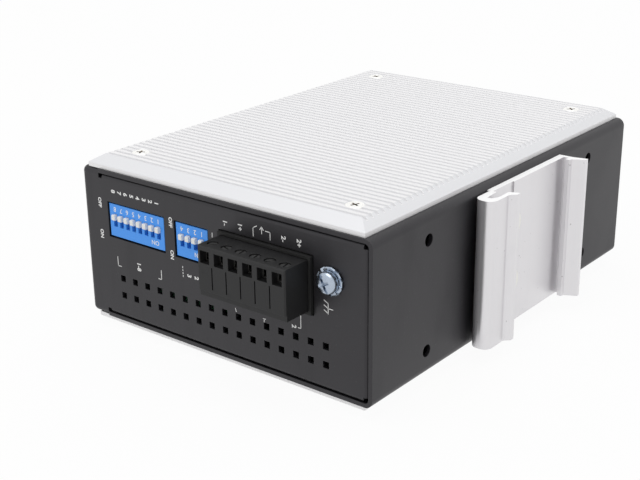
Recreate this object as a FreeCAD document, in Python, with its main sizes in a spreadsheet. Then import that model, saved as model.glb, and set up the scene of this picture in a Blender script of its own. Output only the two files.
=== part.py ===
"""DIN rail ethernet switch: a folded steel case between two ribbed heat-sink plates.

Frame: origin at the middle of the bottom face, +Z up, +Y towards the DIN rail,
-Y towards the ports, -X and +X towards the two heat-sink plates. Millimetres.
"""
import FreeCAD, Part
import math
import os

import Sketcher

document = FreeCAD.newDocument("ethernet_switch")
sheet = document.addObject("Spreadsheet::Sheet", "Sizes")
nodes = []


# ---------------------------------------------------------------- sizes

class Length:
    """A number of millimetres that remembers the spreadsheet expression it stands for."""

    def __init__(self, value, text):
        self.value = float(value)
        self.text = text

    def __add__(self, other):
        other = length(other)
        return Length(self.value + other.value, f"({self.text} + {other.text})")

    def __sub__(self, other):
        other = length(other)
        return Length(self.value - other.value, f"({self.text} - {other.text})")

    def __mul__(self, factor):
        factor = length(factor)
        return Length(self.value * factor.value, f"({self.text} * {factor.text})")

    def __truediv__(self, divisor):
        divisor = length(divisor)
        return Length(self.value / divisor.value, f"({self.text} / {divisor.text})")

    def __radd__(self, other):
        return length(other) + self

    def __rsub__(self, other):
        return length(other) - self

    def __rmul__(self, factor):
        return length(factor) * self

    def __neg__(self):
        return Length(-self.value, f"(-1 * {self.text})")


def length(item):
    """Any number as a Length."""
    if isinstance(item, Length):
        return item
    return Length(item, f"({float(item):.9g})")


def cell(name, value):
    """Write one driving size in the sheet and give it back as a Length."""
    cell.row += 1
    sheet.set(f"A{cell.row}", name)
    sheet.set(f"B{cell.row}", str(value))
    sheet.setAlias(f"B{cell.row}", name)
    return Length(value, f"Sizes.{name}")


cell.row = 0

# case
body_width = cell("body_width", 46.6)
body_depth = cell("body_depth", 106)
body_height = cell("body_height", 140)
gauge = cell("sheet_gauge", 1.2)
bend = cell("case_bend_radius", 2.4)
seam = cell("seam_gap", 0.15)
front_return = cell("front_return_depth", 7.2)
relief = cell("bend_relief", 1.4)
relief_bite = cell("bend_relief_bite", 1.3)
flange = cell("pan_flange_depth", 16)
pan_bend = cell("pan_bend_radius", 1.2)
fit = cell("small_clearance", 0.05)
slack = cell("window_clearance", 0.3)
seat = cell("countersink_clearance", 0.04)
hole_play = cell("screw_hole_clearance", 0.25)

# heat-sink plates and their screws
plate = cell("plate_thickness", 3.6)
plate_edge = cell("plate_edge_height", 1.25)
bevel = cell("plate_bevel_width", 3.7)
plate_inset_depth = cell("plate_inset_front_and_back", 2.75)
plate_inset_height = cell("plate_inset_top_and_bottom", 0.6)
rib_pitch = cell("rib_pitch", 2.5)
groove_width = cell("rib_groove_width", 1.2)
groove_depth = cell("rib_groove_depth", 0.8)
screw_margin_depth = cell("plate_screw_from_front", 13.8)
screw_margin_height = cell("plate_screw_from_top", 11.2)
small_head = cell("small_screw_head_radius", 2.8)
small_shank = cell("small_screw_radius", 1.45)
small_length = cell("small_screw_length", 8)

# rail clip, wall holes
clip_length = cell("rail_clip_length", 44)
clip_base = cell("rail_clip_base", 2.2)
clip_lip = cell("rail_clip_lip", 1.4)
clip_screw_spacing = cell("clip_screw_spacing", 18)
clip_screw_rise = cell("clip_screw_above_rail_centre", 4)
clip_head = cell("clip_screw_head_radius", 3.9)
clip_shank = cell("clip_screw_radius", 1.95)
clip_screw_length = cell("clip_screw_length", 6.4)
clip_nut_flat = cell("clip_nut_half_flats", 3.5)
clip_nut_thick = cell("clip_nut_thickness", 3)
spring_width = cell("rail_spring_width", 30)
spring_gauge = cell("rail_spring_gauge", 0.4)
wall_hole = cell("wall_hole_radius", 1.8)
wall_hole_across = cell("wall_hole_spacing_across", 32)
wall_hole_up = cell("wall_hole_spacing_up", 90)

# vents
vent = cell("vent_side", 2)
vent_pitch = cell("vent_pitch", 5.08)
vent_rows = cell("vent_row_spacing", 5.4)
vent_row = cell("vent_first_row_offset", 9.4)
VENT_COUNT = 16

# slide switches
dip_offset = cell("slide_switch_row_offset", 8.5)
dip8_from_front = cell("long_slide_switch_from_front", 21.9)
dip4_from_front = cell("short_slide_switch_from_front", 43.9)
dip_width = cell("slide_switch_width", 10)
dip_pitch = cell("slide_switch_pitch", 2.54)
dip_end = cell("slide_switch_end_margin", 0.95)
dip_gap = cell("slide_switch_window_clearance", 0.5)
dip_height = cell("slide_switch_height", 5.8)
dip_below_panel = cell("slide_switch_below_panel", 0.3)
lever_travel = cell("lever_travel", 2)
lever_long = cell("lever_length", 1.7)
lever_wide = cell("lever_width", 1.3)
lever_proud = cell("lever_above_switch", 1)
lever_foot = cell("lever_foot_length", 3)
lever_foot_height = cell("lever_foot_height", 1)
lever_gap = cell("lever_gap", 0.1)

# pluggable terminal block
pole_pitch = cell("terminal_pitch", 5)
plug_from_front = cell("terminal_from_front", 70.9)
plug_offset = cell("terminal_row_offset", 6.7)
plug_width = cell("plug_width", 14.4)
plug_proud = cell("plug_above_panel", 10)
plug_end = cell("plug_end_wall", 0.15)
plug_gap = cell("plug_gap", 0.15)
header_wall = cell("header_wall", 0.8)
header_floor = cell("header_floor", 1.8)
header_proud = cell("header_above_panel", 1)
header_pin = cell("header_pin_side", 1)
entry_wide = cell("wire_entry_width", 3.3)
entry_long = cell("wire_entry_length", 3.6)
entry_from_edge = cell("wire_entry_from_edge", 1.2)
entry_deep = cell("wire_entry_depth", 8)
clamp_radius = cell("clamp_screw_hole_radius", 1.6)
clamp_below_face = cell("clamp_screw_below_face", 3.4)
clamp_sunk = cell("clamp_screw_sunk", 0.3)
cage_wall = cell("clamp_cage_wall", 0.45)
cage_lean = cell("clamp_cage_bar_extra", 0.3)
POLE_COUNT = 6

# ground screw
ground_from_header = cell("ground_screw_from_header", 6)
ground_offset = cell("ground_screw_offset", 9.6)
ground_head = cell("ground_head_radius", 3.1)
ground_head_height = cell("ground_head_height", 2.4)
ground_shank = cell("ground_screw_radius", 1.95)
ground_length = cell("ground_screw_length", 9)
washer_thick = cell("washer_thickness", 0.5)
washer_twist = cell("washer_tooth_height", 0.9)
washer_tooth = cell("washer_tooth_width", 1.3)
WASHER_TEETH = 10
washer_ring = cell("washer_ring_radius", 3.2)
washer_tip = cell("washer_tooth_radius", 4)
nut_thick = cell("ground_nut_thickness", 3.2)
nut_flat = cell("ground_nut_half_flats", 3.5)

# boards
board = cell("board_thickness", 1.6)
board_standoff = cell("board_standoff_height", 5)
board_from_front = cell("board_from_front", 2.1)
board_from_back = cell("board_from_back", 7)
board_from_bottom = cell("board_from_bottom", 5)
board_from_top = cell("board_from_top", 22)
board_hole_from_front = cell("board_hole_from_front", 42)
board_hole_from_back = cell("board_hole_from_board_end", 7)
board_hole_from_bottom = cell("board_hole_from_board_bottom", 19)
board_hole_from_top = cell("board_hole_from_board_top", 9)
support_foot = cell("support_foot_half_flats", 2.4)
support_neck = cell("support_neck_half_flats", 1.3)
support_head = cell("support_head_half_flats", 2)
support_head_thick = cell("support_head_thickness", 1.2)
leg = cell("slide_switch_leg_side", 0.5)
leg_row = cell("slide_switch_leg_offset", 3.81)
leg_below = cell("leg_below_board", 1)
io_board_left = cell("io_board_side_gap", 2.2)
io_board_right = cell("io_board_half_width", 8)
io_support_left = cell("io_support_from_board_side", 2.7)
io_support_right = cell("io_support_right_offset", 4.6)

# port block
jack_height = cell("port_block_height", 57)
jack_rise = cell("port_block_width", 26)
jack_depth = cell("port_block_depth", 26)
jack_from_bottom = cell("port_block_from_bottom", 12)
jack_proud = cell("port_block_above_panel", 0.3)
shield = cell("port_shield_thickness", 0.3)
port_pitch = cell("port_pitch", 13.97)
port_row = cell("port_row_half_spacing", 6.4)
port_wide = cell("port_opening_width", 11.8)
port_tall = cell("port_opening_height", 6.8)
port_deep = cell("port_depth", 14)
latch_wide = cell("port_latch_width", 6.2)
latch_tall = cell("port_latch_height", 1.8)
contact_pitch = cell("contact_pitch", 1.02)
contact_wide = cell("contact_width", 0.42)
PORT_COLUMNS = 4
CONTACT_COUNT = 8

# status lamps
lamp_side = cell("lamp_side", 2.6)
lamp_proud = cell("lamp_above_panel", 0.5)
lamp_holder_gap = cell("lamp_holder_behind_panel", 0.6)
lamp_holder_depth = cell("lamp_holder_depth", 5)
lamp_holder_edge = cell("lamp_holder_edge", 1)
lamp_pitch = cell("lamp_pitch", 5)
lamp_from_top = cell("lamp_from_board_top", 8)
lamp_from_board = cell("lamp_from_board", 6)
LAMP_COUNT = 4

# connector between the boards
link_pitch = cell("link_pin_pitch", 2.54)
link_offset = cell("link_pin_from_board", 1.6)
link_width = cell("link_body_width", 2.5)
LINK_PINS = 10

# parts on the main board
chip_side = cell("switch_chip_side", 20)
chip_thick = cell("switch_chip_thickness", 1.5)
pad_side = cell("thermal_pad_side", 24)
magnetics_rise = cell("magnetics_height", 6)
magnetics_depth = cell("magnetics_depth", 8.5)
magnetics_width = cell("magnetics_width", 11.6)
capacitor_radius = cell("capacitor_radius", 4)
capacitor_tall = cell("capacitor_height", 11.5)
capacitor_gap = cell("capacitor_gap", 3)
inductor_side = cell("inductor_side", 10)
inductor_tall = cell("inductor_height", 5)
relay_tall = cell("relay_height", 10.5)
CAPACITOR_COUNT = 3

# places that several pieces share
half_width = body_width / 2
half_depth = body_depth / 2
front_face = -half_depth
back_face = half_depth
inner_side = half_width - gauge
pan_side = inner_side - seam
pan_back = back_face - gauge - seam
pan_underside = body_height - gauge
shell_start = front_face + front_return + seam
screw_spacing_depth = body_depth - 2 * screw_margin_depth
screw_spacing_height = body_height - 2 * screw_margin_height
small_hole = small_shank + hole_play
clip_hole = clip_shank + hole_play
rail_centre = body_height / 2
board_right = inner_side - board_standoff
board_left = board_right - board
board_front = front_face + board_from_front
board_back = back_face - board_from_back
board_low = board_from_bottom
board_high = body_height - board_from_top
dip_top = body_height - dip_below_panel
dip_low = dip_top - dip_height
io_top = dip_low
io_low = io_top - board
dip_x = -dip_offset
dip8_y = front_face + dip8_from_front
dip4_y = front_face + dip4_from_front
SWITCHES = (("dip8", dip8_y, 8), ("dip4", dip4_y, 4))
plug_x = -plug_offset
plug_y = front_face + plug_from_front
plug_top = body_height + plug_proud
plug_half_length = pole_pitch * POLE_COUNT / 2 + plug_end
header_top = body_height + header_proud
header_half_length = plug_half_length + plug_gap + header_wall
header_half_width = plug_width / 2 + plug_gap + header_wall
plug_low = io_top + header_floor + plug_gap
first_pole = plug_y - pole_pitch * (POLE_COUNT - 1) / 2
entry_x = plug_x - plug_width / 2 + entry_from_edge + entry_long / 2
clamp_z = plug_top - clamp_below_face
ground_x = -ground_offset
ground_y = plug_y + header_half_length + ground_from_header
jack_left = board_left - jack_rise
jack_front = front_face - jack_proud
jack_back = jack_front + jack_depth
jack_low = jack_from_bottom
jack_high = jack_low + jack_height
jack_middle = board_left - jack_rise / 2
first_port = jack_low + jack_height / 2 - port_pitch * (PORT_COLUMNS - 1) / 2
lamp_x = board_left - lamp_from_board
lamp_high = board_high - lamp_from_top


# ---------------------------------------------------------------- modelling helpers

NORMAL_SIGN = {"XY": 1, "XZ": -1, "YZ": 1}
AXES = {"x": FreeCAD.Vector(1, 0, 0), "y": FreeCAD.Vector(0, 1, 0), "z": FreeCAD.Vector(0, 0, 1)}


def bind(item, prop, size):
    """Drive one property of an object from the sheet."""
    item.setExpression(prop, length(size).text)


class Piece:
    """One body, and the sketches and features that shape it."""

    def __init__(self, label, kept=True):
        self.body = document.addObject("PartDesign::Body", label)
        self.body.Label = label
        if kept:
            nodes.append(self.body)

    def sketch(self, plane, at=0):
        """A sketch on an origin plane, moved to a place along that plane's axis."""
        role = plane + "_Plane"
        support = next(f for f in self.body.Origin.OriginFeatures if f.Role == role)
        sketch = self.body.newObject("Sketcher::SketchObject", f"{self.body.Label}_sketch")
        sketch.AttachmentSupport = [(support, "")]
        sketch.MapMode = "FlatFace"
        bind(sketch, "AttachmentOffset.Base.z", length(at) * NORMAL_SIGN[plane])
        sketch.addProperty("App::PropertyString", "PlaneName")
        sketch.PlaneName = plane
        return sketch

    def feature(self, kind, name):
        return self.body.newObject(f"PartDesign::{kind}", f"{self.body.Label}_{name}")

    def volume(self):
        document.recompute()
        return self.body.Shape.Volume

    def pad(self, sketch, depth, towards=1, taper=0):
        """Grow the sketch along its axis: towards is 1 for the positive way, -1 for the other."""
        pad = self.feature("Pad", "pad")
        pad.Profile = sketch
        pad.Reversed = towards * NORMAL_SIGN[sketch.PlaneName] < 0
        bind(pad, "Length", depth)
        if taper:
            bind(pad, "TaperAngle", taper)
        document.recompute()
        return pad

    def pocket(self, sketch, depth, towards=-1, taper=0):
        """Cut the sketch along its axis, and make sure that it took something away."""
        before = self.volume()
        pocket = self.feature("Pocket", "pocket")
        pocket.Profile = sketch
        pocket.Reversed = towards * NORMAL_SIGN[sketch.PlaneName] > 0
        bind(pocket, "Length", depth)
        if taper:
            bind(pocket, "TaperAngle", taper)
        if self.volume() >= before - 1e-6:
            raise RuntimeError(f"a pocket of {self.body.Label} cuts nothing")
        return pocket

    def revolve(self, sketch, axis="V_Axis"):
        revolution = self.feature("Revolution", "turn")
        revolution.Profile = sketch
        revolution.ReferenceAxis = (sketch, [axis])
        revolution.Angle = 360
        document.recompute()
        return revolution

    def pattern(self, feature, sketch, axis, pitch, count, axis2=None, pitch2=0, count2=1):
        """Repeat a feature in rows along one or two of the sketch's axes."""
        pattern = self.feature("LinearPattern", "pattern")
        pattern.Originals = [feature]
        pattern.Direction = (sketch, [axis])
        bind(pattern, "Length", pitch * (count - 1))
        pattern.Occurrences = count
        if axis2:
            pattern.Direction2 = (sketch, [axis2])
            bind(pattern, "Length2", pitch2 * (count2 - 1))
            pattern.Occurrences2 = count2
        self.body.Tip = pattern
        document.recompute()
        return pattern

    def ring(self, feature, sketch, count):
        """Repeat a feature round the sketch's normal through its origin."""
        pattern = self.feature("PolarPattern", "ring")
        pattern.Originals = [feature]
        pattern.Axis = (sketch, ["N_Axis"])
        pattern.Angle = 360
        pattern.Occurrences = count
        self.body.Tip = pattern
        document.recompute()

    def edges(self, axis, places):
        """Names of the straight edges along an axis that pass through the places given.

        A place lists the two other coordinates, in X, Y, Z order."""
        others = [k for k in "xyz" if k != axis]
        found = []
        document.recompute()
        for number, edge in enumerate(self.body.Shape.Edges, 1):
            if edge.Degenerated or not isinstance(edge.Curve, Part.Line):
                continue
            if abs(abs(edge.Curve.Direction.dot(AXES[axis])) - 1) > 1e-6:
                continue
            middle = edge.CenterOfMass
            for place in places:
                gaps = [abs(getattr(middle, k) - length(v).value) for k, v in zip(others, place)]
                if max(gaps) < 1e-3:
                    found.append(f"Edge{number}")
        if not found:
            raise RuntimeError(f"no edge of {self.body.Label} runs along {axis} there")
        return found

    def round(self, names, radius):
        shaped = self.body.Tip
        fillet = self.feature("Fillet", "round")
        fillet.Base = (shaped, names)
        bind(fillet, "Radius", radius)
        document.recompute()

    def bevel(self, names, size):
        shaped = self.body.Tip
        chamfer = self.feature("Chamfer", "bevel")
        chamfer.Base = (shaped, names)
        bind(chamfer, "Size", size)
        document.recompute()


def outline(sketch, points):
    """Close a polygon through the points, each held at its own sizes."""
    points = [(length(x), length(y)) for x, y in points]
    first = len(sketch.Geometry)
    last = first + len(points) - 1
    lines = []
    for index, (x, y) in enumerate(points):
        next_x, next_y = points[(index + 1) % len(points)]
        start = FreeCAD.Vector(x.value, y.value, 0)
        end = FreeCAD.Vector(next_x.value, next_y.value, 0)
        lines.append(Part.LineSegment(start, end))
    sketch.addGeometry(lines, False)
    joints = []
    for line in range(first, last + 1):
        following = line + 1 if line < last else first
        joints.append(Sketcher.Constraint("Coincident", line, 2, following, 1))
    sketch.addConstraint(joints)
    for index, (x, y) in enumerate(points):
        hold(sketch, first + index, 1, x, y)


def hold(sketch, shape, corner, x, y):
    """Fix one point of a sketch at two sizes."""
    for kind, size in (("DistanceX", x), ("DistanceY", y)):
        number = sketch.addConstraint(Sketcher.Constraint(kind, shape, corner, size.value))
        sketch.setExpression(f"Constraints[{number}]", size.text)


def rectangle(sketch, left, right, low, high):
    outline(sketch, [(left, low), (right, low), (right, high), (left, high)])


def centred(sketch, x, y, width, height):
    """A rectangle about a centre."""
    x, y, width, height = (length(v) for v in (x, y, width, height))
    rectangle(sketch, x - width / 2, x + width / 2, y - height / 2, y + height / 2)


def circle(sketch, x, y, radius):
    x, y, radius = length(x), length(y), length(radius)
    centre = FreeCAD.Vector(x.value, y.value, 0)
    shape = sketch.addGeometry(Part.Circle(centre, FreeCAD.Vector(0, 0, 1), radius.value), False)
    hold(sketch, shape, 3, x, y)
    number = sketch.addConstraint(Sketcher.Constraint("Radius", shape, radius.value))
    sketch.setExpression(f"Constraints[{number}]", radius.text)


def hexagon(sketch, x, y, half_flats):
    """A six-sided outline about a centre."""
    x, y = length(x), length(y)
    corner = half_flats / math.cos(math.pi / 6)
    angles = [math.pi / 3 * k for k in range(6)]
    outline(sketch, [(x + corner * math.cos(a), y + corner * math.sin(a)) for a in angles])


def block(label, x, y, z, kept=True):
    """A plain box between two values on each axis."""
    box = document.addObject("Part::Box", label)
    box.Label = label
    for size, base, (low, high) in zip(("Length", "Width", "Height"), "xyz", (x, y, z)):
        bind(box, size, length(high) - low)
        bind(box, f"Placement.Base.{base}", low)
    if kept:
        nodes.append(box)
    return box


def gather(label, parts):
    """Several separate solids as one node."""
    compound = document.addObject("Part::Compound", label)
    compound.Label = label
    compound.Links = parts
    nodes.append(compound)
    return compound


def copies(label, source, places, turn=FreeCAD.Rotation()):
    """The same piece at several places, as one node."""
    links = []
    for place in places:
        link = document.addObject("App::Link", f"{label}_copy")
        link.LinkedObject = source
        link.Placement.Rotation = turn
        for base, size in zip("xyz", place):
            bind(link, f"Placement.Base.{base}", size)
        links.append(link)
    return gather(label, links)


# ---------------------------------------------------------------- fasteners

TO_LEFT = FreeCAD.Rotation(FreeCAD.Vector(0, 1, 0), -90)
TO_RIGHT = FreeCAD.Rotation(FreeCAD.Vector(0, 1, 0), 90)
TO_BACK = FreeCAD.Rotation(FreeCAD.Vector(1, 0, 0), -90)


def cross_recess(piece, arm, wide, deep, top=0):
    """Two crossing slots cut down into a screw head."""
    sketch = piece.sketch("XY", top)
    arm, wide = length(arm), length(wide) / 2
    outline(sketch, [
        (-arm, -wide), (-wide, -wide), (-wide, -arm), (wide, -arm), (wide, -wide), (arm, -wide),
        (arm, wide), (wide, wide), (wide, arm), (-wide, arm), (-wide, wide), (-arm, wide)])
    piece.pocket(sketch, deep)


def countersunk_screw(name, head, shank, total):
    """A flat-headed screw that hangs down from the origin, with a cross recess."""
    piece = Piece(name, kept=False)
    sketch = piece.sketch("XZ")
    outline(sketch, [(0, 0), (head, 0), (shank, shank - head), (shank, -total), (0, -total)])
    piece.revolve(sketch)
    cross_recess(piece, head * 0.55, 0.7, 0.9)
    return piece.body


# ---------------------------------------------------------------- case

def side_back_shell():
    """Left side, back and right side folded from one sheet."""
    piece = Piece("side_back_shell")
    sketch = piece.sketch("XY")
    outline(sketch, [
        (-half_width, shell_start), (-half_width, back_face), (half_width, back_face),
        (half_width, shell_start), (inner_side, shell_start), (inner_side, back_face - gauge),
        (-inner_side, back_face - gauge), (-inner_side, shell_start)])
    piece.pad(sketch, body_height)
    piece.round(piece.edges("z", [(-half_width, back_face), (half_width, back_face)]), bend)
    inner = [(-inner_side, back_face - gauge), (inner_side, back_face - gauge)]
    piece.round(piece.edges("z", inner), bend - gauge)

    sides = piece.sketch("YZ", half_width + 1)
    centred(sides, -screw_spacing_depth / 2, rail_centre - screw_spacing_height / 2, 2 * small_hole, 2 * small_hole)
    hole = piece.pocket(sides, body_width + 2)
    piece.pattern(hole, sides, "H_Axis", screw_spacing_depth, 2, "V_Axis", screw_spacing_height, 2)

    wall = piece.sketch("XZ", back_face + 1)
    circle(wall, -wall_hole_across / 2, rail_centre - wall_hole_up / 2, wall_hole)
    hole = piece.pocket(wall, gauge + 2)
    piece.pattern(hole, wall, "H_Axis", wall_hole_across, 2, "V_Axis", wall_hole_up, 2)

    clip = piece.sketch("XZ", back_face + 1)
    for side in (-1, 1):
        centred(clip, side * clip_screw_spacing / 2, rail_centre + clip_screw_rise, 2 * clip_hole, 2 * clip_hole)
    piece.pocket(clip, gauge + 2)
    return piece


def front_tray(piece):
    """The front panel with its return all round."""
    sketch = piece.sketch("XZ", front_face)
    rectangle(sketch, -half_width, half_width, 0, body_height)
    piece.pad(sketch, front_return)
    corners = piece.edges("z", [(-half_width, front_face), (half_width, front_face)])
    corners += piece.edges("x", [(front_face, 0), (front_face, body_height)])
    rims = [(x, z) for x in (-half_width, half_width) for z in (0, body_height)]
    piece.round(corners + piece.edges("y", rims), bend * 0.75)
    hollow = piece.sketch("XZ", front_face + front_return)
    rectangle(hollow, -inner_side, inner_side, gauge, pan_underside)
    piece.pocket(hollow, front_return - gauge)


def panel_pan(piece, level, inward):
    """A top or bottom panel with its side and rear flanges, and the notches at its bends."""
    start = front_face + front_return
    neck = piece.sketch("XY", level)
    narrow = pan_side - relief_bite
    rectangle(neck, -narrow, narrow, start, start + relief)
    piece.pad(neck, gauge, inward)

    pan = piece.sketch("XY", level)
    rectangle(pan, -pan_side, pan_side, start + relief, pan_back)
    piece.pad(pan, flange, inward)
    sides = piece.edges("y", [(-pan_side, level), (pan_side, level)])
    rear = piece.edges("x", [(pan_back, level)])
    piece.round(sides + rear, pan_bend)

    hollow = piece.sketch("XY", length(level) + flange * inward)
    rectangle(hollow, -pan_side + gauge, pan_side - gauge, start + relief - 0.001, pan_back - gauge)
    piece.pocket(hollow, flange - gauge, -inward)

    notches = piece.sketch("XY", level)
    for side in (-1, 1):
        centred(notches, side * pan_side, pan_back, relief * 2, relief * 2)
    piece.pocket(notches, flange, inward)


def front_openings(piece):
    """Port window and lamp holes in the front panel."""
    sketch = piece.sketch("XZ", front_face - 1)
    rectangle(sketch, jack_left - slack, board_left + slack, jack_low - slack, jack_high + slack)
    piece.pocket(sketch, gauge + 2, 1)
    lamps = piece.sketch("XZ", front_face - 1)
    centred(lamps, lamp_x, lamp_high, lamp_side + slack, lamp_side + slack)
    hole = piece.pocket(lamps, gauge + 2, 1)
    pattern = piece.pattern(hole, lamps, "V_Axis", lamp_pitch, LAMP_COUNT)
    pattern.Reversed = True


def top_openings(piece):
    """Windows for the slide switches, the terminal header and the ground screw."""
    sketch = piece.sketch("XY", body_height)
    for _, middle, ways in SWITCHES:
        long_side = dip_pitch * ways + 2 * dip_end + 2 * dip_gap
        centred(sketch, dip_x, middle, dip_width + 2 * dip_gap, long_side)
    centred(sketch, plug_x, plug_y, 2 * (header_half_width + slack), 2 * (header_half_length + slack))
    circle(sketch, ground_x, ground_y, ground_shank + hole_play)
    piece.pocket(sketch, gauge + 1)


def vents(piece):
    """Two rows of square holes through the top and bottom panels."""
    sketch = piece.sketch("XY", body_height)
    for row in (0, 1):
        centred(sketch, vent_row + vent_rows * row, -vent_pitch * (VENT_COUNT - 1) / 2, vent, vent)
    hole = piece.pocket(sketch, body_height)
    piece.pattern(hole, sketch, "V_Axis", vent_pitch, VENT_COUNT)


def front_shell():
    """Front panel, top panel and bottom panel, folded from one sheet."""
    piece = Piece("front_shell")
    front_tray(piece)
    panel_pan(piece, body_height, -1)
    panel_pan(piece, length(0), 1)
    top_openings(piece)
    vents(piece)
    front_openings(piece)
    tapped = piece.sketch("YZ", half_width)
    circle(tapped, -screw_spacing_depth / 2, rail_centre - screw_spacing_height / 2, small_shank + fit)
    hole = piece.pocket(tapped, body_width)
    piece.pattern(hole, tapped, "H_Axis", screw_spacing_depth, 2, "V_Axis", screw_spacing_height, 2)
    return piece


def heatsink_plate(label, side):
    """A bevelled aluminium plate, ribbed front to back, with four countersunk holes."""
    piece = Piece(label)
    long_half = half_depth - plate_inset_depth
    low, high = plate_inset_height, body_height - plate_inset_height
    base = piece.sketch("YZ", side * half_width)
    rectangle(base, -long_half, long_half, low, high)
    piece.pad(base, plate_edge, side)
    rise = plate - plate_edge
    slope = math.degrees(math.atan2(bevel.value, rise.value))
    crown = piece.sketch("YZ", side * (half_width + plate_edge))
    rectangle(crown, -long_half, long_half, low, high)
    piece.pad(crown, rise, side, -slope)

    outside = side * (half_width + plate)
    rib_zone = high - low - 2 * bevel
    count = int((rib_zone.value - groove_width.value) // rib_pitch.value) + 1
    first = rail_centre - rib_pitch * (count - 1) / 2
    groove = piece.sketch("XZ", -long_half)
    outline(groove, [
        (outside + side * 0.5, first - groove_width / 2), (outside, first - groove_width / 2),
        (outside - side * groove_depth, first - groove_width / 4),
        (outside - side * groove_depth, first + groove_width / 4),
        (outside, first + groove_width / 2), (outside + side * 0.5, first + groove_width / 2)])
    cut = piece.pocket(groove, 2 * long_half, 1)
    piece.pattern(cut, groove, "V_Axis", rib_pitch, count)

    holes = piece.sketch("YZ", outside)
    circle(holes, -screw_spacing_depth / 2, rail_centre - screw_spacing_height / 2, small_head + seat)
    cone = piece.pocket(holes, small_head + seat - small_hole, -side, -45)
    piece.pattern(cone, holes, "H_Axis", screw_spacing_depth, 2, "V_Axis", screw_spacing_height, 2)
    shanks = piece.sketch("YZ", outside)
    circle(shanks, -screw_spacing_depth / 2, rail_centre - screw_spacing_height / 2, small_hole)
    hole = piece.pocket(shanks, plate, -side)
    piece.pattern(hole, shanks, "H_Axis", screw_spacing_depth, 2, "V_Axis", screw_spacing_height, 2)
    return piece


def plate_screws():
    """Four flat-headed screws through each heat-sink plate into the panel flanges."""
    screw = countersunk_screw("small_flat_screw", small_head, small_shank, small_length)
    for label, side, turn in (("left_plate_screws", -1, TO_LEFT), ("right_plate_screws", 1, TO_RIGHT)):
        places = [(side * (half_width + plate), y * screw_spacing_depth / 2, rail_centre + z * screw_spacing_height / 2)
                  for y in (-1, 1) for z in (-1, 1)]
        copies(label, screw, places, turn)


# ---------------------------------------------------------------- rail clip

def rail_clip():
    """Extruded clip: a deep hook for the rail's upper edge and a nosed wall for its lower edge."""
    piece = Piece("rail_clip")
    front = clip_base
    hook_under = length(0.9)
    mouth = rail_centre + 16.4
    channel_end = rail_centre + 21.7
    hook_end = channel_end + 3.1
    lip_in = front + 3.4
    lip_out = lip_in + clip_lip
    foot = rail_centre - 24.2
    wall_out = foot - 1.4
    nose = length(3.7)
    tip = length(9)
    profile = [
        (0, mouth), (0, wall_out), (4.5, wall_out), (tip, wall_out - 0.9),
        (tip, wall_out + 0.3), (nose + 1.6, foot + 0.6), (nose + 1.3, foot + 1.9), (nose, foot + 1.9),
        (nose, foot), (front, foot),
        (front, rail_centre + 5.2), (front - 0.4, rail_centre + 5.2), (front - 0.4, mouth - 0.3),
        (front + 0.7, mouth - 0.3), (front + 1.1, channel_end), (front + 2.3, channel_end),
        (lip_in, channel_end - 1.8), (lip_in, mouth), (lip_in - 0.1, mouth - 2.2), (tip - 0.4, mouth - 3.4),
        (tip - 0.3, mouth - 1.9), (lip_out - 0.1, mouth - 0.3), (lip_out, mouth + 1), (lip_out, hook_end),
        (hook_under, hook_end), (hook_under, mouth)]
    sketch = piece.sketch("YZ", -clip_length / 2)
    outline(sketch, [(back_face + y, z) for y, z in profile])
    piece.pad(sketch, clip_length)

    def corner(*numbers):
        return piece.edges("x", [(back_face + profile[n][0], profile[n][1]) for n in numbers])

    piece.round(corner(23, 24), 2.6)
    piece.round(corner(18, 21), 1.2)
    piece.round(corner(2), 4)

    holes = piece.sketch("XZ", back_face + clip_base)
    for side in (-1, 1):
        circle(holes, side * clip_screw_spacing / 2, rail_centre + clip_screw_rise, clip_head + seat)
    piece.pocket(holes, clip_head + seat - clip_hole, -1, -45)
    shanks = piece.sketch("XZ", back_face + clip_base)
    for side in (-1, 1):
        circle(shanks, side * clip_screw_spacing / 2, rail_centre + clip_screw_rise, clip_hole)
    piece.pocket(shanks, clip_base)
    return piece


def rail_spring():
    """A leaf of spring steel whose root fills the end of the hook and whose bow holds the rail down."""
    piece = Piece("rail_spring")
    top = rail_centre + 21.6
    bow = rail_centre + 11.2
    outer = clip_base + 2.2
    inner = clip_base + 0.4
    thick = spring_gauge
    sketch = piece.sketch("YZ", -spring_width / 2)
    points = [
        (outer - thick, top), (outer, top), (outer + 0.9, top - 4), (outer + 0.9, bow + 1.6),
        (outer - 0.4, bow), (inner + 0.3, bow + 1.6), (inner, bow + 4), (inner + thick, bow + 4),
        (inner + 0.3 + thick, bow + 1.7), (outer - 0.4, bow + thick + 0.15),
        (outer + 0.9 - thick, bow + 1.8), (outer + 0.9 - thick, top - 4)]
    outline(sketch, [(back_face + y, z) for y, z in points])
    piece.pad(sketch, spring_width)
    return piece


def clip_fasteners():
    """Two flat-headed screws for the clip and the nuts behind the back panel."""
    z = rail_centre + clip_screw_rise
    xs = [side * clip_screw_spacing / 2 for side in (-1, 1)]
    screw = countersunk_screw("clip_flat_screw", clip_head, clip_shank, clip_screw_length)
    copies("clip_screws", screw, [(x, back_face + clip_base, z) for x in xs], TO_BACK)
    nuts = Piece("clip_nuts")
    sketch = nuts.sketch("XZ", back_face - gauge)
    for x in xs:
        hexagon(sketch, x, z, clip_nut_flat)
        circle(sketch, x, z, clip_shank + fit)
    nuts.pad(sketch, clip_nut_thick, -1)


# ---------------------------------------------------------------- boards

def board_holes():
    """Centres of the main board's four mounting holes."""
    return [(y, z)
            for y in (front_face + board_hole_from_front, board_back - board_hole_from_back)
            for z in (board_low + board_hole_from_bottom, board_high - board_hole_from_top)]


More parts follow.
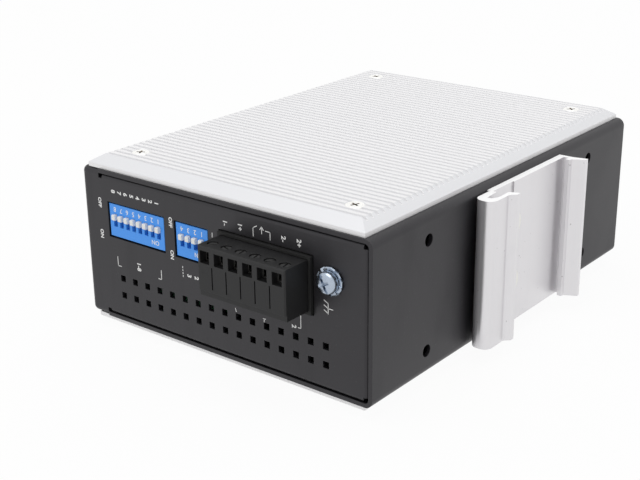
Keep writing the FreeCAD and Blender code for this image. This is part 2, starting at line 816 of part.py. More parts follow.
def main_board():
    """The main circuit board, upright and parallel to the right side."""
    piece = Piece("main_board")
    sketch = piece.sketch("YZ", board_left)
    rectangle(sketch, board_front, board_back, board_low, board_high)
    for y, z in board_holes():
        hexagon(sketch, y, z, support_neck + fit)
    piece.pad(sketch, board)


def supports(label, plane, places, shell, near, far, towards):
    """Moulded board supports: a foot on the shell, a neck through the board and a head beyond it."""
    piece = Piece(label)
    for flats, start, end in ((support_foot, shell, near), (support_neck, near, far),
                              (support_head, far, far + towards * support_head_thick)):
        sketch = piece.sketch(plane, start)
        for across, up in places:
            hexagon(sketch, across, up, flats)
        piece.pad(sketch, towards * (end - start), towards)


def io_support_places():
    """The small board's four mounting points, clear of the switches and the terminal header."""
    left = -inner_side + io_board_left + io_support_left
    between = (dip4_y + dip_pitch * 2 + plug_y - header_half_length) / 2
    ahead = dip8_y - dip_pitch * 4 - 2.4
    return [(x, y) for x in (left, io_support_right) for y in (ahead, between)]


def io_board():
    """The small board under the top panel that carries the slide switches and the terminal header."""
    piece = Piece("io_board")
    left = -inner_side + io_board_left
    ahead = dip8_y - dip_pitch * 4 - 5
    behind = plug_y + header_half_length + 1
    link_ahead, link_behind = link_span()
    sketch = piece.sketch("XY", io_low)
    outline(sketch, [
        (left, ahead), (io_board_right, ahead), (io_board_right, link_ahead - 1),
        (board_left, link_ahead - 1), (board_left, link_behind + 1), (io_board_right, link_behind + 1),
        (io_board_right, behind), (left, behind)])
    for x, y in io_support_places():
        hexagon(sketch, x, y, support_neck + fit)
    piece.pad(sketch, board)
    for _, middle, ways in SWITCHES:
        legs = piece.sketch("XY", io_top)
        leg_pair(legs, middle, ways, leg + 2 * fit)
        holes = piece.pocket(legs, board)
        piece.pattern(holes, legs, "V_Axis", dip_pitch, ways)
    pins = piece.sketch("XY", io_top)
    centred(pins, plug_x, first_pole, header_pin + 2 * fit, header_pin + 2 * fit)
    hole = piece.pocket(pins, board)
    pole_row(piece, pins, hole)


def link_span():
    """Where the connector between the two boards starts and ends."""
    middle = front_face + jack_depth + 10
    half = link_pitch * LINK_PINS / 2
    return middle - half, middle + half


def board_link():
    """Pin header on the main board and the socket under the small board."""
    ahead, behind = link_span()
    x = board_left - link_offset
    socket_low = io_low - 8.5
    socket = Piece("link_socket")
    sketch = socket.sketch("XY", socket_low)
    rectangle(sketch, x - link_width / 2, x + link_width / 2, ahead, behind)
    socket.pad(sketch, io_low - socket_low)
    openings = socket.sketch("XY", socket_low)
    centred(openings, x, ahead + link_pitch / 2, 0.9, 0.9)
    hole = socket.pocket(openings, 6.5, 1)
    socket.pattern(hole, openings, "V_Axis", link_pitch, LINK_PINS)

    pins = Piece("link_pins")
    base = pins.sketch("XY", socket_low - 2.6)
    rectangle(base, board_left - link_offset - link_width / 2, board_left - fit, ahead, behind)
    pins.pad(base, 2.5)
    tips = pins.sketch("XY", socket_low - 0.2)
    centred(tips, x, ahead + link_pitch / 2, 0.64, 0.64)
    pin = pins.pad(tips, 6)
    pins.pattern(pin, tips, "V_Axis", link_pitch, LINK_PINS)


# ---------------------------------------------------------------- ports

def port_cutouts(piece, y):
    """The stepped openings of every port, on a plane at y."""
    sketch = piece.sketch("XZ", y)
    for side in (-1, 1):
        x = jack_middle + side * port_row
        wide, latch, key = port_wide / 2, latch_wide / 2, latch_wide / 4
        inner = x - side * port_tall / 2
        outer = x + side * port_tall / 2
        step = outer + side * latch_tall
        last = step + side * 0.8
        outline(sketch, [(a, first_port + b) for a, b in (
            (inner, -wide), (outer, -wide), (outer, -latch), (step, -latch), (step, -key), (last, -key),
            (last, key), (step, key), (step, latch), (outer, latch), (outer, wide), (inner, wide))])
    return sketch


def jack_housing():
    """The moulded block with two rows of modular ports."""
    piece = Piece("jack_housing")
    sketch = piece.sketch("XZ", jack_front + shield)
    rectangle(sketch, jack_left + shield, board_left, jack_low + shield, jack_high - shield)
    piece.pad(sketch, jack_depth - 2 * shield)
    ports = port_cutouts(piece, jack_front)
    cut = piece.pocket(ports, port_deep, 1)
    piece.pattern(cut, ports, "V_Axis", port_pitch, PORT_COLUMNS)


def jack_shield():
    """The folded metal can round the port block, open towards the board."""
    piece = Piece("jack_shield")
    sketch = piece.sketch("XZ", jack_front)
    rectangle(sketch, jack_left, board_left, jack_low, jack_high)
    piece.pad(sketch, jack_depth)
    hollow = piece.sketch("YZ", board_left)
    rectangle(hollow, jack_front + shield, jack_back - shield, jack_low + shield, jack_high - shield)
    piece.pocket(hollow, jack_rise - shield)
    ports = port_cutouts(piece, jack_front - 1)
    cut = piece.pocket(ports, 1 + shield, 1)
    piece.pattern(cut, ports, "V_Axis", port_pitch, PORT_COLUMNS)


def jack_contacts():
    """Eight sprung wires in each port, slanting in from the side away from the latch."""
    piece = Piece("jack_contacts")
    ahead, behind = jack_front + 3.5, jack_front + port_deep - 1.5
    sketch = piece.sketch("XY", first_port - contact_pitch * (CONTACT_COUNT - 1) / 2 - contact_wide / 2)
    for side in (-1, 1):
        wall = jack_middle + side * (port_row - port_tall / 2)
        outline(sketch, [(wall + side * 0.1, behind), (wall + side * 0.5, behind),
                         (wall + side * 2.6, ahead + 0.3), (wall + side * 2.4, ahead)])
    wires = piece.pad(sketch, contact_wide)
    piece.pattern(wires, sketch, "N_Axis", contact_pitch, CONTACT_COUNT, "N_Axis", port_pitch, PORT_COLUMNS)


def status_lamps():
    """Four square light guides in a holder at the front edge of the board."""
    behind = front_face + gauge + lamp_holder_gap
    reach = lamp_side / 2 + lamp_holder_edge
    holder = Piece("lamp_holder")
    sketch = holder.sketch("XZ", behind)
    lowest = lamp_high - lamp_pitch * (LAMP_COUNT - 1)
    rectangle(sketch, lamp_x - reach, board_left - fit, lowest - reach, lamp_high + reach)
    holder.pad(sketch, lamp_holder_depth)
    seats = holder.sketch("XZ", behind)
    centred(seats, lamp_x, lowest, lamp_side + 2 * fit, lamp_side + 2 * fit)
    seat_hole = holder.pocket(seats, lamp_holder_depth / 2, 1)
    holder.pattern(seat_hole, seats, "V_Axis", lamp_pitch, LAMP_COUNT)

    lamps = Piece("status_lamps")
    root = behind + lamp_holder_depth / 2 - fit
    tip = front_face - lamp_proud
    sketch = lamps.sketch("XZ", root)
    for number in range(LAMP_COUNT):
        centred(sketch, lamp_x, lowest + lamp_pitch * number, lamp_side, lamp_side)
    lamps.pad(sketch, root - tip, -1)
    ends = []
    for number in range(LAMP_COUNT):
        z = lowest + lamp_pitch * number
        ends += lamps.edges("z", [(lamp_x - lamp_side / 2, tip), (lamp_x + lamp_side / 2, tip)])
        ends += lamps.edges("x", [(tip, z - lamp_side / 2), (tip, z + lamp_side / 2)])
    lamps.bevel(sorted(set(ends)), lamp_proud * 0.6)


# ---------------------------------------------------------------- slide switches

def slide_switch(name, middle, ways):
    """Base and cover of one bank of slide levers."""
    half_long = dip_pitch * ways / 2 + dip_end
    base_height = dip_height * 0.4
    left, right = dip_x - dip_width / 2, dip_x + dip_width / 2
    block(f"{name}_base", (left, right), (middle - half_long, middle + half_long), (dip_low, dip_low + base_height))

    cover = Piece(f"{name}_cover")
    first = middle - dip_pitch * (ways - 1) / 2
    sketch = cover.sketch("XY", dip_low + base_height)
    rectangle(sketch, left, right, middle - half_long, middle + half_long)
    cover.pad(sketch, dip_height - base_height)
    slots = cover.sketch("XY", dip_top)
    centred(slots, dip_x, first, lever_long + lever_travel + 2 * lever_gap, lever_wide + 2 * lever_gap)
    slot = cover.pocket(slots, dip_height)
    cover.pattern(slot, slots, "V_Axis", dip_pitch, ways)
    cells = cover.sketch("XY", dip_low + base_height)
    centred(cells, dip_x, first, lever_foot + lever_travel + 2 * lever_gap, lever_wide + 0.5)
    hollow = cover.pocket(cells, lever_foot_height + 2 * lever_gap, 1)
    cover.pattern(hollow, cells, "V_Axis", dip_pitch, ways)

    for number in range(ways):
        lever(f"{name}_lever_{ways - number}", first + dip_pitch * number, dip_low + base_height + lever_gap)


def lever(label, y, low):
    """One lever at the end of its slot nearest the left side."""
    x = dip_x - lever_travel / 2
    piece = Piece(label)
    foot = piece.sketch("XY", low)
    centred(foot, x, y, lever_foot, lever_wide + 0.3)
    piece.pad(foot, lever_foot_height)
    stem = piece.sketch("XY", low)
    centred(stem, x, y, lever_long, lever_wide)
    piece.pad(stem, dip_top + lever_proud - low)
    top = dip_top + lever_proud
    piece.bevel(piece.edges("y", [(x - lever_long / 2, top), (x + lever_long / 2, top)]), 0.2)


def leg_pair(sketch, middle, ways, side_length):
    """The two soldered legs at the front end of a slide switch, one down each long side."""
    first = middle - dip_pitch * (ways - 1) / 2
    for side in (-1, 1):
        centred(sketch, dip_x + side * leg_row, first, side_length, side_length)


def slide_switch_legs():
    """Soldered legs of both switches, through the small board."""
    piece = Piece("slide_switch_legs")
    for _, middle, ways in SWITCHES:
        sketch = piece.sketch("XY", io_low - leg_below)
        leg_pair(sketch, middle, ways, leg)
        pair = piece.pad(sketch, board + leg_below)
        piece.pattern(pair, sketch, "V_Axis", dip_pitch, ways)


# ---------------------------------------------------------------- terminal block

def pole_row(piece, sketch, feature):
    piece.pattern(feature, sketch, "V_Axis", pole_pitch, POLE_COUNT)


def terminal_header():
    """The open box on the small board that the plug pushes into."""
    piece = Piece("terminal_header")
    sketch = piece.sketch("XY", io_top)
    centred(sketch, plug_x, plug_y, 2 * header_half_width, 2 * header_half_length)
    piece.pad(sketch, header_top - io_top)
    well = piece.sketch("XY", header_top)
    inner_width = plug_width + 2 * plug_gap
    inner_length = 2 * (plug_half_length + plug_gap)
    centred(well, plug_x, plug_y, inner_width, inner_length)
    piece.pocket(well, header_top - io_top - header_floor)
    feet = piece.sketch("XY", io_top)
    centred(feet, plug_x, first_pole, header_pin + 2 * fit, header_pin + 2 * fit)
    hole = piece.pocket(feet, header_floor, 1)
    pole_row(piece, feet, hole)


def header_pins():
    """Six square pins from below the small board up into the plug."""
    piece = Piece("header_pins")
    sketch = piece.sketch("XY", io_low - 1.2)
    centred(sketch, plug_x, first_pole, header_pin, header_pin)
    pin = piece.pad(sketch, plug_low - io_low + 1.2 + 6)
    pole_row(piece, sketch, pin)


def terminal_plug():
    """The screw-terminal plug: wire entries on top, screw holes on its left side."""
    piece = Piece("terminal_plug")
    half = plug_width / 2
    left, right = plug_x - half, plug_x + half
    sketch = piece.sketch("XY", plug_low)
    centred(sketch, plug_x, plug_y, plug_width, 2 * plug_half_length)
    piece.pad(sketch, plug_top - plug_low)
    tops = piece.edges("y", [(left, plug_top), (right, plug_top)])
    ends = [(plug_x, plug_y + side * plug_half_length) for side in (-1, 1)]
    tops += piece.edges("x", [(y, plug_top) for _, y in ends])
    piece.bevel(tops, 0.35)

    step = piece.sketch("XZ", plug_y - plug_half_length - 1)
    rectangle(step, right - 1.7, right + 1, plug_top - 0.6, plug_top + 1)
    piece.pocket(step, 2 * plug_half_length + 2, 1)

    entries = piece.sketch("XY", plug_top)
    centred(entries, entry_x, first_pole, entry_long, entry_wide)
    entry = piece.pocket(entries, entry_deep)
    pole_row(piece, entries, entry)

    slits = piece.sketch("XY", plug_top)
    slit_start = entry_x + entry_long / 2 + 0.6
    rectangle(slits, slit_start, right - 2.6, first_pole + pole_pitch / 2 - 0.2, first_pole + pole_pitch / 2 + 0.2)
    slit = piece.pocket(slits, 0.9)
    piece.pattern(slit, slits, "V_Axis", pole_pitch, POLE_COUNT - 1)

    access = piece.sketch("YZ", left)
    circle(access, first_pole, clamp_z, clamp_radius)
    hole = piece.pocket(access, entry_from_edge + 0.5, 1)
    piece.pattern(hole, access, "H_Axis", pole_pitch, POLE_COUNT)

    sockets = piece.sketch("XY", plug_low)
    centred(sockets, plug_x, first_pole, header_pin + 0.6, header_pin + 0.6)
    socket = piece.pocket(sockets, 6.4, 1)
    pole_row(piece, sockets, socket)


def clamps():
    """The cage in each wire entry and the screw that closes it."""
    cages = Piece("clamp_cages")
    deep = plug_top - entry_deep
    high = clamp_z + clamp_radius - 0.4
    sketch = cages.sketch("XY", deep + fit)
    outer_long, outer_wide = entry_long - 2 * fit, entry_wide - 2 * fit
    centred(sketch, entry_x, first_pole, outer_long, outer_wide)
    inner_long = outer_long - 2 * cage_wall - 2 * cage_lean
    centred(sketch, entry_x + cage_lean, first_pole, inner_long, outer_wide - 2 * cage_wall)
    cage = cages.pad(sketch, high - deep - fit)
    pole_row(cages, sketch, cage)

    screws = Piece("clamp_screws")
    face = plug_x - plug_width / 2
    heads = screws.sketch("YZ", face + clamp_sunk)
    circle(heads, first_pole, clamp_z, clamp_radius - 2 * fit)
    head = screws.pad(heads, entry_from_edge - clamp_sunk + fit)
    screws.pattern(head, heads, "H_Axis", pole_pitch, POLE_COUNT)


# ---------------------------------------------------------------- ground screw

def ground_parts():
    """Ground screw, toothed washer and the nut under the panel."""
    washer = Piece("star_washer_form", kept=False)
    ring = washer.sketch("XY", (washer_twist - washer_thick) / 2)
    circle(ring, 0, 0, washer_ring)
    circle(ring, 0, 0, ground_shank + hole_play)
    washer.pad(ring, washer_thick)
    tooth = washer.sketch("XZ")
    root = washer_ring - 0.4
    outline(tooth, [(root, 0.2), (washer_tip, 0), (washer_tip, 0.4), (washer_tip - 0.2, washer_twist),
                    (root, washer_twist - 0.2)])
    blade = washer.feature("Pad", "blade")
    blade.Profile = tooth
    blade.Midplane = True
    bind(blade, "Length", washer_tooth)
    document.recompute()
    washer.ring(blade, ring, WASHER_TEETH)
    copies("star_washer", washer.body, [(ground_x, ground_y, body_height)])

    screw = Piece("ground_screw_form", kept=False)
    sketch = screw.sketch("XZ")
    tall = ground_head_height
    outline(sketch, [(0, tall), (ground_head * 0.45, tall), (ground_head * 0.85, tall * 0.78),
                     (ground_head, tall * 0.4), (ground_head, 0), (ground_shank, 0),
                     (ground_shank, -ground_length), (0, -ground_length)])
    screw.revolve(sketch)
    cross_recess(screw, ground_head * 0.62, 0.8, 1.3, tall)
    slot = screw.sketch("XY", tall)
    centred(slot, 0, 0, 2 * ground_head + 1, 0.8)
    screw.pocket(slot, 0.8)
    turned = FreeCAD.Rotation(FreeCAD.Vector(0, 0, 1), 35)
    copies("ground_screw", screw.body, [(ground_x, ground_y, body_height + washer_twist)], turned)

    nut = Piece("ground_nut")
    sketch = nut.sketch("XY", pan_underside - nut_thick)
    hexagon(sketch, ground_x, ground_y, nut_flat)
    circle(sketch, ground_x, ground_y, ground_shank + fit)
    nut.pad(sketch, nut_thick)


# ---------------------------------------------------------------- electronics on the main board

def cooled_chip():
    """The switch chip on the side of the board that faces the right plate, and its pad."""
    y = front_face + jack_depth + 26
    z = board_low + 51
    faces = board_right + chip_thick
    block("switch_chip", (board_right, faces), (y - chip_side / 2, y + chip_side / 2),
          (z - chip_side / 2, z + chip_side / 2))
    block("thermal_pad", (faces, inner_side), (y - pad_side / 2, y + pad_side / 2),
          (z - pad_side / 2, z + pad_side / 2))


def magnetics():
    """One transformer module behind each column of ports."""
    y = jack_back + 2
    modules = []
    for number in range(PORT_COLUMNS):
        low = first_port + port_pitch * number - magnetics_width / 2
        modules.append(block(f"magnetics_{number}", (board_left - magnetics_rise, board_left),
                             (y, y + magnetics_depth), (low, low + magnetics_width), kept=False))
    gather("magnetics", modules)


def capacitors():
    """Three electrolytic cans standing on the board."""
    piece = Piece("capacitors")
    sketch = piece.sketch("YZ", board_left)
    circle(sketch, board_back - 7, board_low + 42, capacitor_radius)
    can = piece.pad(sketch, capacitor_tall, -1)
    piece.pattern(can, sketch, "V_Axis", 2 * capacitor_radius + capacitor_gap, CAPACITOR_COUNT)


def inductor():
    """A shielded coil: a square block with its four corners cut off."""
    piece = Piece("inductor")
    y, z = board_back - 22, board_low + 80
    sketch = piece.sketch("YZ", board_left)
    centred(sketch, y, z, inductor_side, inductor_side)
    piece.pad(sketch, inductor_tall, -1)
    half = inductor_side / 2
    corners = [(y + a * half, z + b * half) for a in (-1, 1) for b in (-1, 1)]
    piece.bevel(piece.edges("x", corners), inductor_side * 0.2)


def small_parts():
    """Alarm relay, power converter, memory and clock crystal."""
    z = board_high - 19
    y = front_face + 22
    block("relay", (board_left - relay_tall, board_left), (y, y + 20), (z - 10, z))
    block("power_converter", (board_left - 2.6, board_left), (board_back - 34, board_back - 24),
          (board_low + 38, board_low + 46))
    block("memory_chip", (board_left - 1.7, board_left), (board_back - 34, board_back - 28.8),
          (board_low + 54, board_low + 62))
    block("clock_crystal", (board_left - 3.4, board_left), (board_back - 24.3, board_back - 19.7),
          (board_low + 52.5, board_low + 63.5))


# ---------------------------------------------------------------- the whole switch

side_back_shell()
front_shell()
heatsink_plate("left_heatsink_plate", -1)
heatsink_plate("right_heatsink_plate", 1)
plate_screws()
rail_clip()
rail_spring()
clip_fasteners()
main_board()
supports("board_supports", "YZ", board_holes(), inner_side, board_right, board_left, -1)
io_board()
supports("io_supports", "XY", io_support_places(), pan_underside, io_top, io_low, -1)
board_link()
jack_housing()
jack_shield()
jack_contacts()
status_lamps()
for switch in SWITCHES:
    slide_switch(*switch)
slide_switch_legs()
terminal_header()
header_pins()
terminal_plug()
clamps()
ground_parts()
cooled_chip()
magnetics()
capacitors()
inductor()
small_parts()
document.recompute()

for item in document.Objects:
    if {"Invalid", "Error"} & set(item.State):
        raise RuntimeError(f"{item.Label} did not compute: {item.State}")

os.makedirs("parts", exist_ok=True)
for node in nodes:
    shape = node.Shape
    if shape.isNull() or not shape.isValid() or not shape.Solids:
        raise RuntimeError(f"{node.Label} has no valid solid")
    shape.exportStep(f"parts/{node.Label}.step")
print(len(nodes), "parts written")
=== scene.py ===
"""Finishes for an upright network switch: coated steel case, ribbed heat-sink plates, rail clip.

Run as a script. Metres; +Z up to the terminal panel, +Y towards the rail, -X the left plate.
"""
import math

import bmesh
import bpy
from bpy.props import FloatProperty, FloatVectorProperty, IntProperty, PointerProperty
from mathutils import Matrix, Vector


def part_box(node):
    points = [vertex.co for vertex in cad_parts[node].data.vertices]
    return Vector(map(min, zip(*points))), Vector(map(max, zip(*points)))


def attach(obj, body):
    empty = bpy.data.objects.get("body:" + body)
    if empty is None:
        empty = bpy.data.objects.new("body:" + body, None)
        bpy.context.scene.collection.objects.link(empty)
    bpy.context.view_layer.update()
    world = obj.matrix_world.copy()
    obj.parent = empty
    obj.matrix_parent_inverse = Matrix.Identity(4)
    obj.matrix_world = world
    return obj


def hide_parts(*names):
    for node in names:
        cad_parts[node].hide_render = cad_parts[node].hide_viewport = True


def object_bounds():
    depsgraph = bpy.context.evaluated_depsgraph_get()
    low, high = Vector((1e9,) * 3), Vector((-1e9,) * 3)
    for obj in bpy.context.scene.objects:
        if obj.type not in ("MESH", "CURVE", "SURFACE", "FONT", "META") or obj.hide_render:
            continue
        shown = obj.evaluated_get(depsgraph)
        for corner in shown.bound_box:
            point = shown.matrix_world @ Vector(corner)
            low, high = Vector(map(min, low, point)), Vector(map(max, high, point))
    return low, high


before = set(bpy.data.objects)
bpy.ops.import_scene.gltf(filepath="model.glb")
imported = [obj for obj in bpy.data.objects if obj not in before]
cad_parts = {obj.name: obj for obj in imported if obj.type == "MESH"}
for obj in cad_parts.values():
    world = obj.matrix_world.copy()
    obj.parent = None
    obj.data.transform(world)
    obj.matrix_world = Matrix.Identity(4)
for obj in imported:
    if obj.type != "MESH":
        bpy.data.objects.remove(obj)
CAD_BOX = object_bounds()

bl_info = {
    "name": "Network switch finishes",
    "version": (1, 0, 0),
    "blender": (4, 5, 0),
    "location": "3D View > Sidebar > Network switch",
    "description": "Coats, prints and small hardware of a rail-mounted network switch",
    "category": "Object",
}

MM = 0.001
SLIVER = 0.002 * MM
CAPITALS = 1.38  # a font's size over the height of its capitals


# -------------------------------- settings

def colour(name, note, default):
    """A colour that a user may change."""
    return FloatVectorProperty(name=name, description=note, subtype="COLOR", size=3, min=0, max=1,
                               default=default)


def size(name, note, millimetres):
    """A length that a user may change, kept in metres."""
    return FloatProperty(name=name, description=note, default=millimetres * MM, min=0, unit="LENGTH",
                         precision=5)


def share(name, note, default):
    """A value from 0 to 1 that a user may change."""
    return FloatProperty(name=name, description=note, default=default, min=0, max=1, subtype="FACTOR")


class CaseSettings(bpy.types.PropertyGroup):
    coat: colour("Coat", "Powder coat of the folded case", (0.0085, 0.0080, 0.0095))
    coat_roughness: share("Coat roughness", "How matte the powder coat is", 0.42)
    peel: size("Orange peel", "Width of the coat's fine ripples", 0.55)
    edge: size("Edge radius", "Softness of the sheet's cut edges", 0.22)


class MetalSettings(bpy.types.PropertyGroup):
    plate: colour("Plate", "Anodised aluminium of the heat-sink plates", (0.875, 0.869, 0.875))
    clip: colour("Clip", "Bare extruded aluminium of the rail clip", (0.80, 0.787, 0.800))
    steel: colour("Steel", "Zinc plated screws", (0.80, 0.80, 0.80))
    gilt: colour("Gilt", "Gold flash of pins and contacts", (0.86, 0.62, 0.28))
    draw_lines: size("Draw lines", "Width of the fine lines left by the extrusion die", 0.12)


class PlasticSettings(bpy.types.PropertyGroup):
    switch: colour("Switch", "Blue cover of the slide switches", (0.058, 0.325, 0.94))
    lever: colour("Lever", "White slide levers", (0.86, 0.86, 0.84))
    plug: colour("Plug", "Black moulding of the terminal plug", (0.0095, 0.0095, 0.0100))
    laminate: colour("Laminate", "Green solder resist of the circuit boards", (0.012, 0.105, 0.040))


class PrintSettings(bpy.types.PropertyGroup):
    ink: colour("Ink", "White screen print", (0.90, 0.90, 0.89))
    label_height: size("Label height", "Height of the panel's letters", 1.5)
    digit_height: size("Digit height", "Height of the digits on the slide switches", 1.5)
    stroke: size("Stroke", "Width of the printed lines", 0.22)
    film: size("Film", "Thickness of the printed ink", 0.02)
    weight: share("Weight", "How much bolder the panel's letters are", 0.04)


class ScrewSettings(bpy.types.PropertyGroup):
    segments: IntProperty(name="Segments", description="Sides of a turned screw", default=48, min=12,
                          max=128)
    recess: size("Recess wing", "Width of one wing of a cross recess", 0.55)
    bevel: size("Broken edge", "Small bevel round a screw head", 0.12)
    seed: IntProperty(name="Seed", description="Sets how far each screw happens to be turned", default=7)


class StageSettings(bpy.types.PropertyGroup):
    lens: FloatProperty(name="Lens", description="Focal length of the camera", default=68.95, min=10,
                        unit="CAMERA")
    eye: FloatVectorProperty(name="Eye", description="Where the camera stands", size=3, unit="LENGTH",
                             default=(-0.13032, 0.21681, 0.36625))
    aim: FloatVectorProperty(name="Aim", description="The way the camera looks", size=3,
                             default=(0.356563, -0.582164, -0.730718))
    top: FloatVectorProperty(name="Top", description="The way the top of the camera points", size=3,
                             default=(-0.933891, -0.213878, -0.286539))
    floor: colour("Floor", "Pale floor under the switch as it lies on its right plate",
                  (0.88, 0.88, 0.88))
    floor_glow: share("Floor glow", "How white the floor is where the camera sees it", 0.94)
    floor_gap: size("Floor gap", "From the right plate to the floor", 0.4)
    floor_reach: size("Floor reach", "From the middle of the floor to its edge", 2500.0)
    sky: FloatProperty(name="Sky", description="Strength of the even light from all round", default=0.72,
                       min=0)
    key: FloatProperty(name="Key lamp", description="Power of the large soft lamp", default=7.0, min=0,
                       unit="POWER")
    key_side: size("Key lamp side", "Side of the large soft lamp", 1100.0)
    key_place: FloatVectorProperty(name="Key lamp place", description="Where the large soft lamp hangs",
                                   size=3, unit="LENGTH", default=(-1.45, 0.05, 0.30))


SETTINGS = {
    "switch_case": CaseSettings,
    "switch_metal": MetalSettings,
    "switch_plastic": PlasticSettings,
    "switch_print": PrintSettings,
    "switch_screw": ScrewSettings,
    "switch_stage": StageSettings,
}


# -------------------------------- node building

class Nodes:
    """Adds nodes to one tree, with their settings first and then what feeds their sockets."""

    def __init__(self, tree):
        self.tree = tree

    def node(self, kind, settings=None, values=None):
        node = self.tree.nodes.new(kind)
        for name, value in (settings or {}).items():
            setattr(node, name, value)
        for name, value in (values or {}).items():
            self.feed(node.inputs[name], value)
        return node

    def feed(self, socket, value):
        value = getattr(value, "socket", value)
        if isinstance(value, bpy.types.NodeSocket):
            self.tree.links.new(value, socket)
        else:
            socket.default_value = value


class Number:
    """A socket that carries a number. Arithmetic on it adds Math nodes."""

    def __init__(self, nodes, socket):
        self.nodes = nodes
        self.socket = socket

    def maths(self, operation, *values):
        node = self.nodes.node("ShaderNodeMath", {"operation": operation}, dict(enumerate(values)))
        return Number(self.nodes, node.outputs[0])

    def __add__(self, other):
        return self.maths("ADD", self, other)

    def __radd__(self, other):
        return self.maths("ADD", other, self)

    def __sub__(self, other):
        return self.maths("SUBTRACT", self, other)

    def __rsub__(self, other):
        return self.maths("SUBTRACT", other, self)

    def __mul__(self, other):
        return self.maths("MULTIPLY", self, other)

    def __rmul__(self, other):
        return self.maths("MULTIPLY", other, self)

    def size(self):
        return self.maths("ABSOLUTE", self)

    def above(self, low, high):
        """0 below low, 1 above high, smooth between."""
        values = {"Value": self, "From Min": low, "From Max": high}
        node = self.nodes.node("ShaderNodeMapRange", {"interpolation_type": "SMOOTHSTEP"}, values)
        return Number(self.nodes, node.outputs["Result"])


class Finish(Nodes):
    """One material, and the patterns that shape it."""

    def __init__(self, name, base, roughness, metallic=0.0, **constants):
        self.material = bpy.data.materials.new(name)
        self.material.use_nodes = True
        super().__init__(self.material.node_tree)
        self.shader = self.tree.nodes["Principled BSDF"]
        self.shader.inputs["Metallic"].default_value = metallic
        for socket, value in constants.items():
            self.shader.inputs[socket.replace("_", " ")].default_value = value
        self.base = (*base, 1.0)
        self.roughness = roughness
        self.normal = None
        self.here = self.node("ShaderNodeTexCoord").outputs["Object"]

    def place(self, stretch):
        """Object coordinates in steps of the sizes given, in metres."""
        scale = tuple(1 / step for step in stretch)
        return self.node("ShaderNodeMapping", None, {"Vector": self.here, "Scale": scale}).outputs[0]

    def noise(self, stretch, detail=2.0, roughness=0.5):
        """Soft random values whose features are as large as the stretch, or one size all ways."""
        if not isinstance(stretch, tuple):
            stretch = (stretch,) * 3
        values = {"Vector": self.place(stretch), "Scale": 1.0, "Detail": detail, "Roughness": roughness}
        return Number(self, self.node("ShaderNodeTexNoise", None, values).outputs["Fac"])

    def cells(self, step, feature="F1"):
        values = {"Vector": self.place((step,) * 3), "Scale": 1.0}
        node = self.node("ShaderNodeTexVoronoi", {"feature": feature}, values)
        return Number(self, node.outputs["Distance"])

    def facing(self, axis):
        """How squarely the surface faces along an axis, either way."""
        normal = self.node("ShaderNodeNewGeometry").outputs["Normal"]
        parts = self.node("ShaderNodeSeparateXYZ", None, {0: normal})
        return Number(self, parts.outputs["XYZ".index(axis)]).size()

    def edge(self, radius):
        """1 on the object's corners within the radius, 0 on its flats; it also rounds them."""
        rounded = self.node("ShaderNodeBevel", {"samples": 6}, {"Radius": radius}).outputs["Normal"]
        flat = self.node("ShaderNodeNewGeometry").outputs["Normal"]
        dot = self.node("ShaderNodeVectorMath", {"operation": "DOT_PRODUCT"}, {0: rounded, 1: flat})
        self.normal = rounded
        return (1 - Number(self, dot.outputs["Value"])).above(0.02, 0.22)

    def tint(self, amount, other):
        """Change the base colour towards another by an amount that varies."""
        values = {0: amount, 6: self.base, 7: (*other, 1.0)}
        self.base = self.node("ShaderNodeMix", {"data_type": "RGBA"}, values).outputs[2]

    def bump(self, height, depth):
        """Raise the surface by the height, at most the depth in metres."""
        values = {"Height": height, "Distance": depth}
        if self.normal is not None:
            values["Normal"] = self.normal
        self.normal = self.node("ShaderNodeBump", None, values).outputs["Normal"]

    def done(self):
        self.feed(self.shader.inputs["Base Color"], self.base)
        self.feed(self.shader.inputs["Roughness"], self.roughness)
        if self.normal is not None:
            self.feed(self.shader.inputs["Normal"], self.normal)
        return self.material


# -------------------------------- finishes

def powder_coat():
    """Matte black powder coat with a fine orange peel, a little dust, and lighter edges that are partly
    rubbed and partly a painted highlight.
    """
    own = bpy.context.scene.switch_case
    coat = Finish("powder_coat", own.coat, own.coat_roughness, Specular_IOR_Level=0.56,
                  Specular_Tint=(0.97, 0.95, 1.0, 1.0))
    rubbed_edge_and_highlight = coat.edge(own.edge)
    dust = coat.noise(0.045, 4.0, 0.6).above(0.45, 0.8)
    specks = coat.noise(0.0007, 1.0).above(0.70, 0.78)
    smears = coat.noise((0.030, 0.004, 0.012), 3.0).above(0.5, 0.75)
    coat.tint(dust * 0.07 + specks * 0.12, (0.14, 0.14, 0.15))
    # painted highlight along the edges, together with real rubbing of the coat
    coat.tint(rubbed_edge_and_highlight * 0.16, (0.06, 0.06, 0.065))
    coat.roughness = own.coat_roughness + dust * 0.10 + smears * 0.06 - rubbed_edge_and_highlight * 0.10
    peel = coat.noise(own.peel, 2.0, 0.55)
    coat.bump(peel, 0.000018)
    return coat.done()


